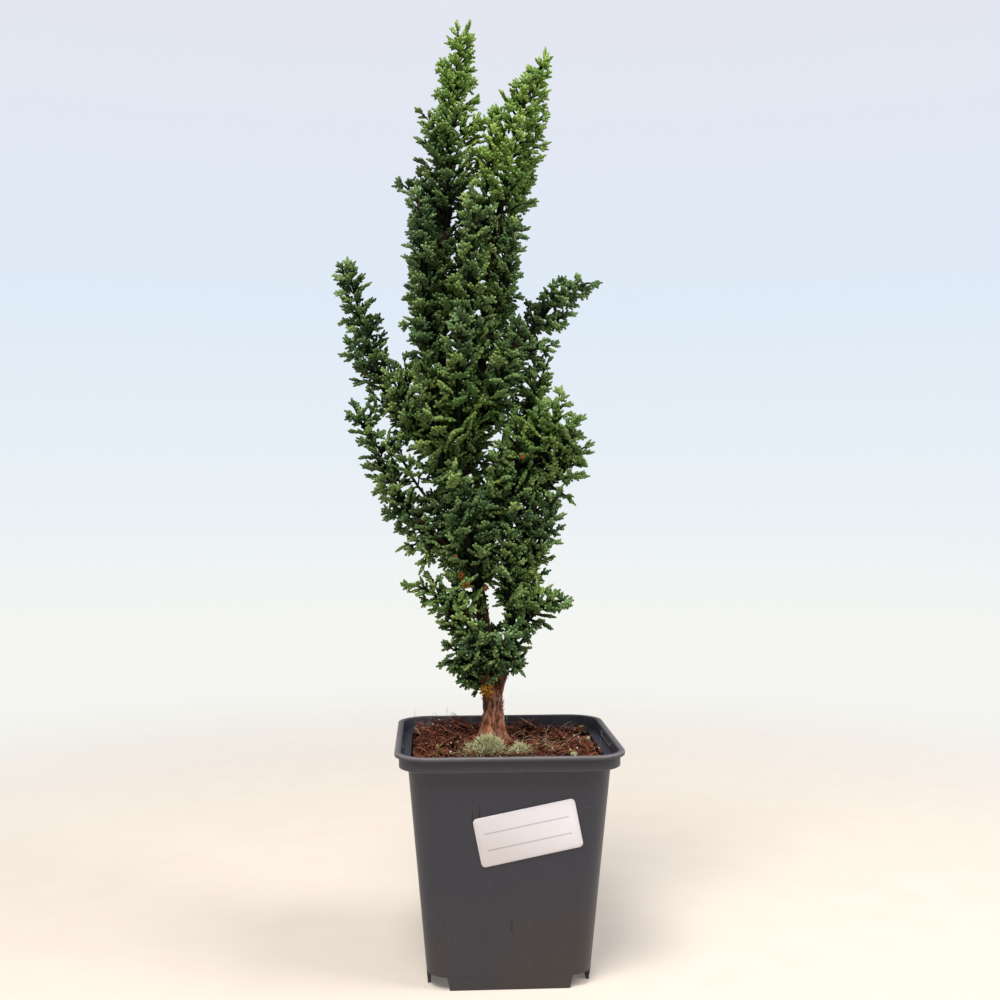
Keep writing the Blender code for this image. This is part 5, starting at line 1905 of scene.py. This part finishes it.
    def straw(self, rng: np.random.Generator) -> Shape:
        """Pale straws, more of them at the front right, and long arched hairs in the back left corner.

        Args:
            rng: the soil's dice.

        Returns:
            The straws and hairs as one surface.
        """
        strewn = self.on_top(rng.normal((0.0150, -0.0100), (0.0065, 0.0050), (self.strewn_straws, 2)))
        places = np.concatenate([self.scattered(self.straws, rng), strewn]) + (0, 0, 0.0008)
        count = len(places)
        length, radius = rng.uniform(0.002, 0.0090, count), rng.uniform(0.00006, 0.00016, count)
        straws = self.strands(places, length, radius, rng.uniform(0.0, 0.5, count), rng)
        hairs = self.on_top(rng.uniform((-0.037, 0.026), (-0.024, 0.037), (self.hairs, 2)))
        length, radius = rng.uniform(0.005, 0.011, self.hairs), np.full(self.hairs, 0.00005)
        return joined([straws, self.strands(hairs, length, radius, np.full(self.hairs, 1.5), rng, 12)])

    def white_grains(self, rng: np.random.Generator) -> Shape:
        """Scattered white grains.

        Args:
            rng: the soil's dice.

        Returns:
            The grains as one surface.
        """
        places = self.scattered(self.grains, rng, 0.0008)
        size = rng.uniform(0.00018, 0.0005, len(places))
        return self.lumps(places, size, rng.uniform(0.2, 1, len(places)), rng, 6, 8)

    def moss_bits(self, rng: np.random.Generator) -> Shape:
        """A few single bits of moss, away from the mounds."""
        x, y, above, size, tone = np.array(self.moss_bit_places).T
        return self.lumps(self.on_top(np.column_stack([x, y]), above), size, tone, rng, 5, 6)

    def build(self) -> None:
        """Makes the soil and every kind of litter on it, with one set of dice that is passed along."""
        rng = np.random.default_rng(self.seed)
        litter = self.finish("coir", (0.012, 0.004, 0.002), (0.390, 0.132, 0.070), 700.0)
        pale = self.finish("dry straw", (0.160, 0.100, 0.055), (0.560, 0.430, 0.280), 500.0)
        white = self.finish("white grains", (0.480, 0.380, 0.320), (0.840, 0.770, 0.710), 900.0)
        green = self.finish("moss", (0.150, 0.140, 0.055), (0.680, 0.680, 0.380), 500.0)
        young = self.finish("seedling green", (0.180, 0.260, 0.060), (0.420, 0.520, 0.120), 300.0)
        add_piece("soil_body", self.body(), self.earth(), "soil")
        add_piece("soil_crumbs", self.crumb_lumps(rng), litter)
        add_piece("soil_coir", self.coir(rng), litter)
        add_piece("soil_straw", self.straw(rng), pale)
        add_piece("soil_grains", self.white_grains(rng), white)
        bits = self.moss_bits(rng)
        add_piece("soil_moss", joined([self.moss(rng), bits]), green)
        add_piece("soil_seedlings", self.seedlings(), young)


@dataclass(frozen=True)
class Studio:
    """The plain pale floor, the soft lights, the pale surroundings and the camera."""

    camera_lens: float = 42.84
    camera_near: float = 0.01
    camera_place: tuple = (-0.03145, -0.4940, 0.1905)
    camera_way: tuple = (0.0593, 0.9982, 0)
    floor_sides: int = 96
    floor_radii: tuple = (0.02, 0.5, 1.1, 1.6)
    floor_glow: float = 0.14
    lamp_size: float = 0.7
    lamp_aim: tuple = (0, 0, 0.2)
    surround_light: float = 0.30
    surround_colours: tuple = (
        (0.10, (0.92, 0.90, 0.84)),
        (0.40, (0.91, 0.92, 0.89)),
        (0.50, (0.82, 0.88, 0.92)),
        (0.66, (0.74, 0.83, 0.93)),
        (0.90, (0.78, 0.79, 0.87)),
    )

    def hang(self, data: bpy.types.ID, place: tuple, way: Vector) -> bpy.types.Object:
        """Puts a camera or a light into the scene.

        Args:
            data: the camera's or the light's data.
            place: where it hangs.
            way: the way that it faces.

        Returns:
            The new object.
        """
        made = bpy.data.objects.new(data.name, data)
        made.location = place
        made.rotation_mode = "QUATERNION"
        made.rotation_quaternion = way.to_track_quat("-Z", "Y")
        bpy.context.scene.collection.objects.link(made)
        return made

    def camera(self) -> None:
        """Level, at the photograph's angle and distance."""
        data = bpy.data.cameras.new("camera")
        data.lens = self.camera_lens
        data.clip_start = self.camera_near
        bpy.context.scene.camera = self.hang(data, self.camera_place, Vector(self.camera_way))

    def floor(self) -> None:
        """A round pale floor that fades out into the surroundings at its edge."""
        rings = np.array(self.floor_radii)[:, None, None] * circle(self.floor_sides)
        walls, caps = tube_faces(1, len(self.floor_radii), self.floor_sides)
        recipe = Recipe("pale floor")
        place = recipe.place()
        far = recipe.node("ShaderNodeVectorMath", {"operation": "LENGTH"}, {0: place}, output=1)
        grain = recipe.noise(place, 40.0, 4.0)
        colour = recipe.mix(grain, (0.72, 0.625, 0.535), (0.78, 0.695, 0.60))
        recipe.finished(colour, 0.75)
        recipe.feed(recipe.shader.inputs["Emission Color"], (1.0, 0.93, 0.85))
        recipe.feed(recipe.shader.inputs["Emission Strength"], self.floor_glow)
        clear = recipe.node("ShaderNodeBsdfTransparent")
        inputs = {0: far.between(0.20, 0.75), 1: Wire(recipe, recipe.shader.outputs[0]), 2: clear}
        blend = recipe.node("ShaderNodeMixShader", None, inputs)
        recipe.feed(recipe.tree.nodes["Material Output"].inputs[0], blend)
        shape = Shape(rings.reshape(-1, 3), [walls, caps[:1, ::-1]])
        made = put_in_scene("floor", shape, recipe.material)

    def lamp(self, name: str, place: tuple, power: float, colour: Colour) -> None:
        """A square soft light that faces the object.

        Args:
            name: its name.
            place: where it hangs.
            power: its strength in watts.
            colour: its colour.
        """
        data = bpy.data.lights.new(name, "AREA")
        data.size, data.energy, data.color = self.lamp_size, power, colour
        self.hang(data, place, Vector(self.lamp_aim) - Vector(place))

    def surroundings(self) -> None:
        """A pale world: cream below, bluish at the horizon and lavender white above."""
        world = bpy.data.worlds.new("pale surroundings")
        world.use_nodes = True
        nodes = Nodes(world.node_tree)
        height = nodes.node("ShaderNodeSeparateXYZ", None, {0: nodes.node("ShaderNodeTexCoord")}, output=2)
        sky = nodes.node("ShaderNodeValToRGB", {"stops": self.surround_colours}, {0: height + 0.5})
        seen = nodes.node("ShaderNodeLightPath")
        strength = nodes.node("ShaderNodeMapRange", None, {0: seen, 3: self.surround_light, 4: 1.0})
        background = world.node_tree.nodes["Background"]
        nodes.feed(background.inputs[0], sky)
        nodes.feed(background.inputs[1], strength)
        bpy.context.scene.world = world

    def build(self) -> None:
        """Sets up the whole studio."""
        self.camera()
        self.floor()
        self.surroundings()
        self.lamp("key", (-0.35, -0.75, 1.55), 27, (1.0, 0.98, 0.95))
        self.lamp("fill", (0.95, -0.35, 1.15), 12, (0.97, 0.98, 1.0))
        bpy.context.scene.view_settings.view_transform = "Standard"


def main() -> None:
    """Builds the bonsai in order."""
    logging.basicConfig(level=logging.INFO, format="%(name)s %(message)s")
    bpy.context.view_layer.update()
    Studio().build()
    Pot().build()
    Label().build()
    Wood().build()
    Soil().build()
    Foliage().build()


if __name__ == "__main__":
    main()
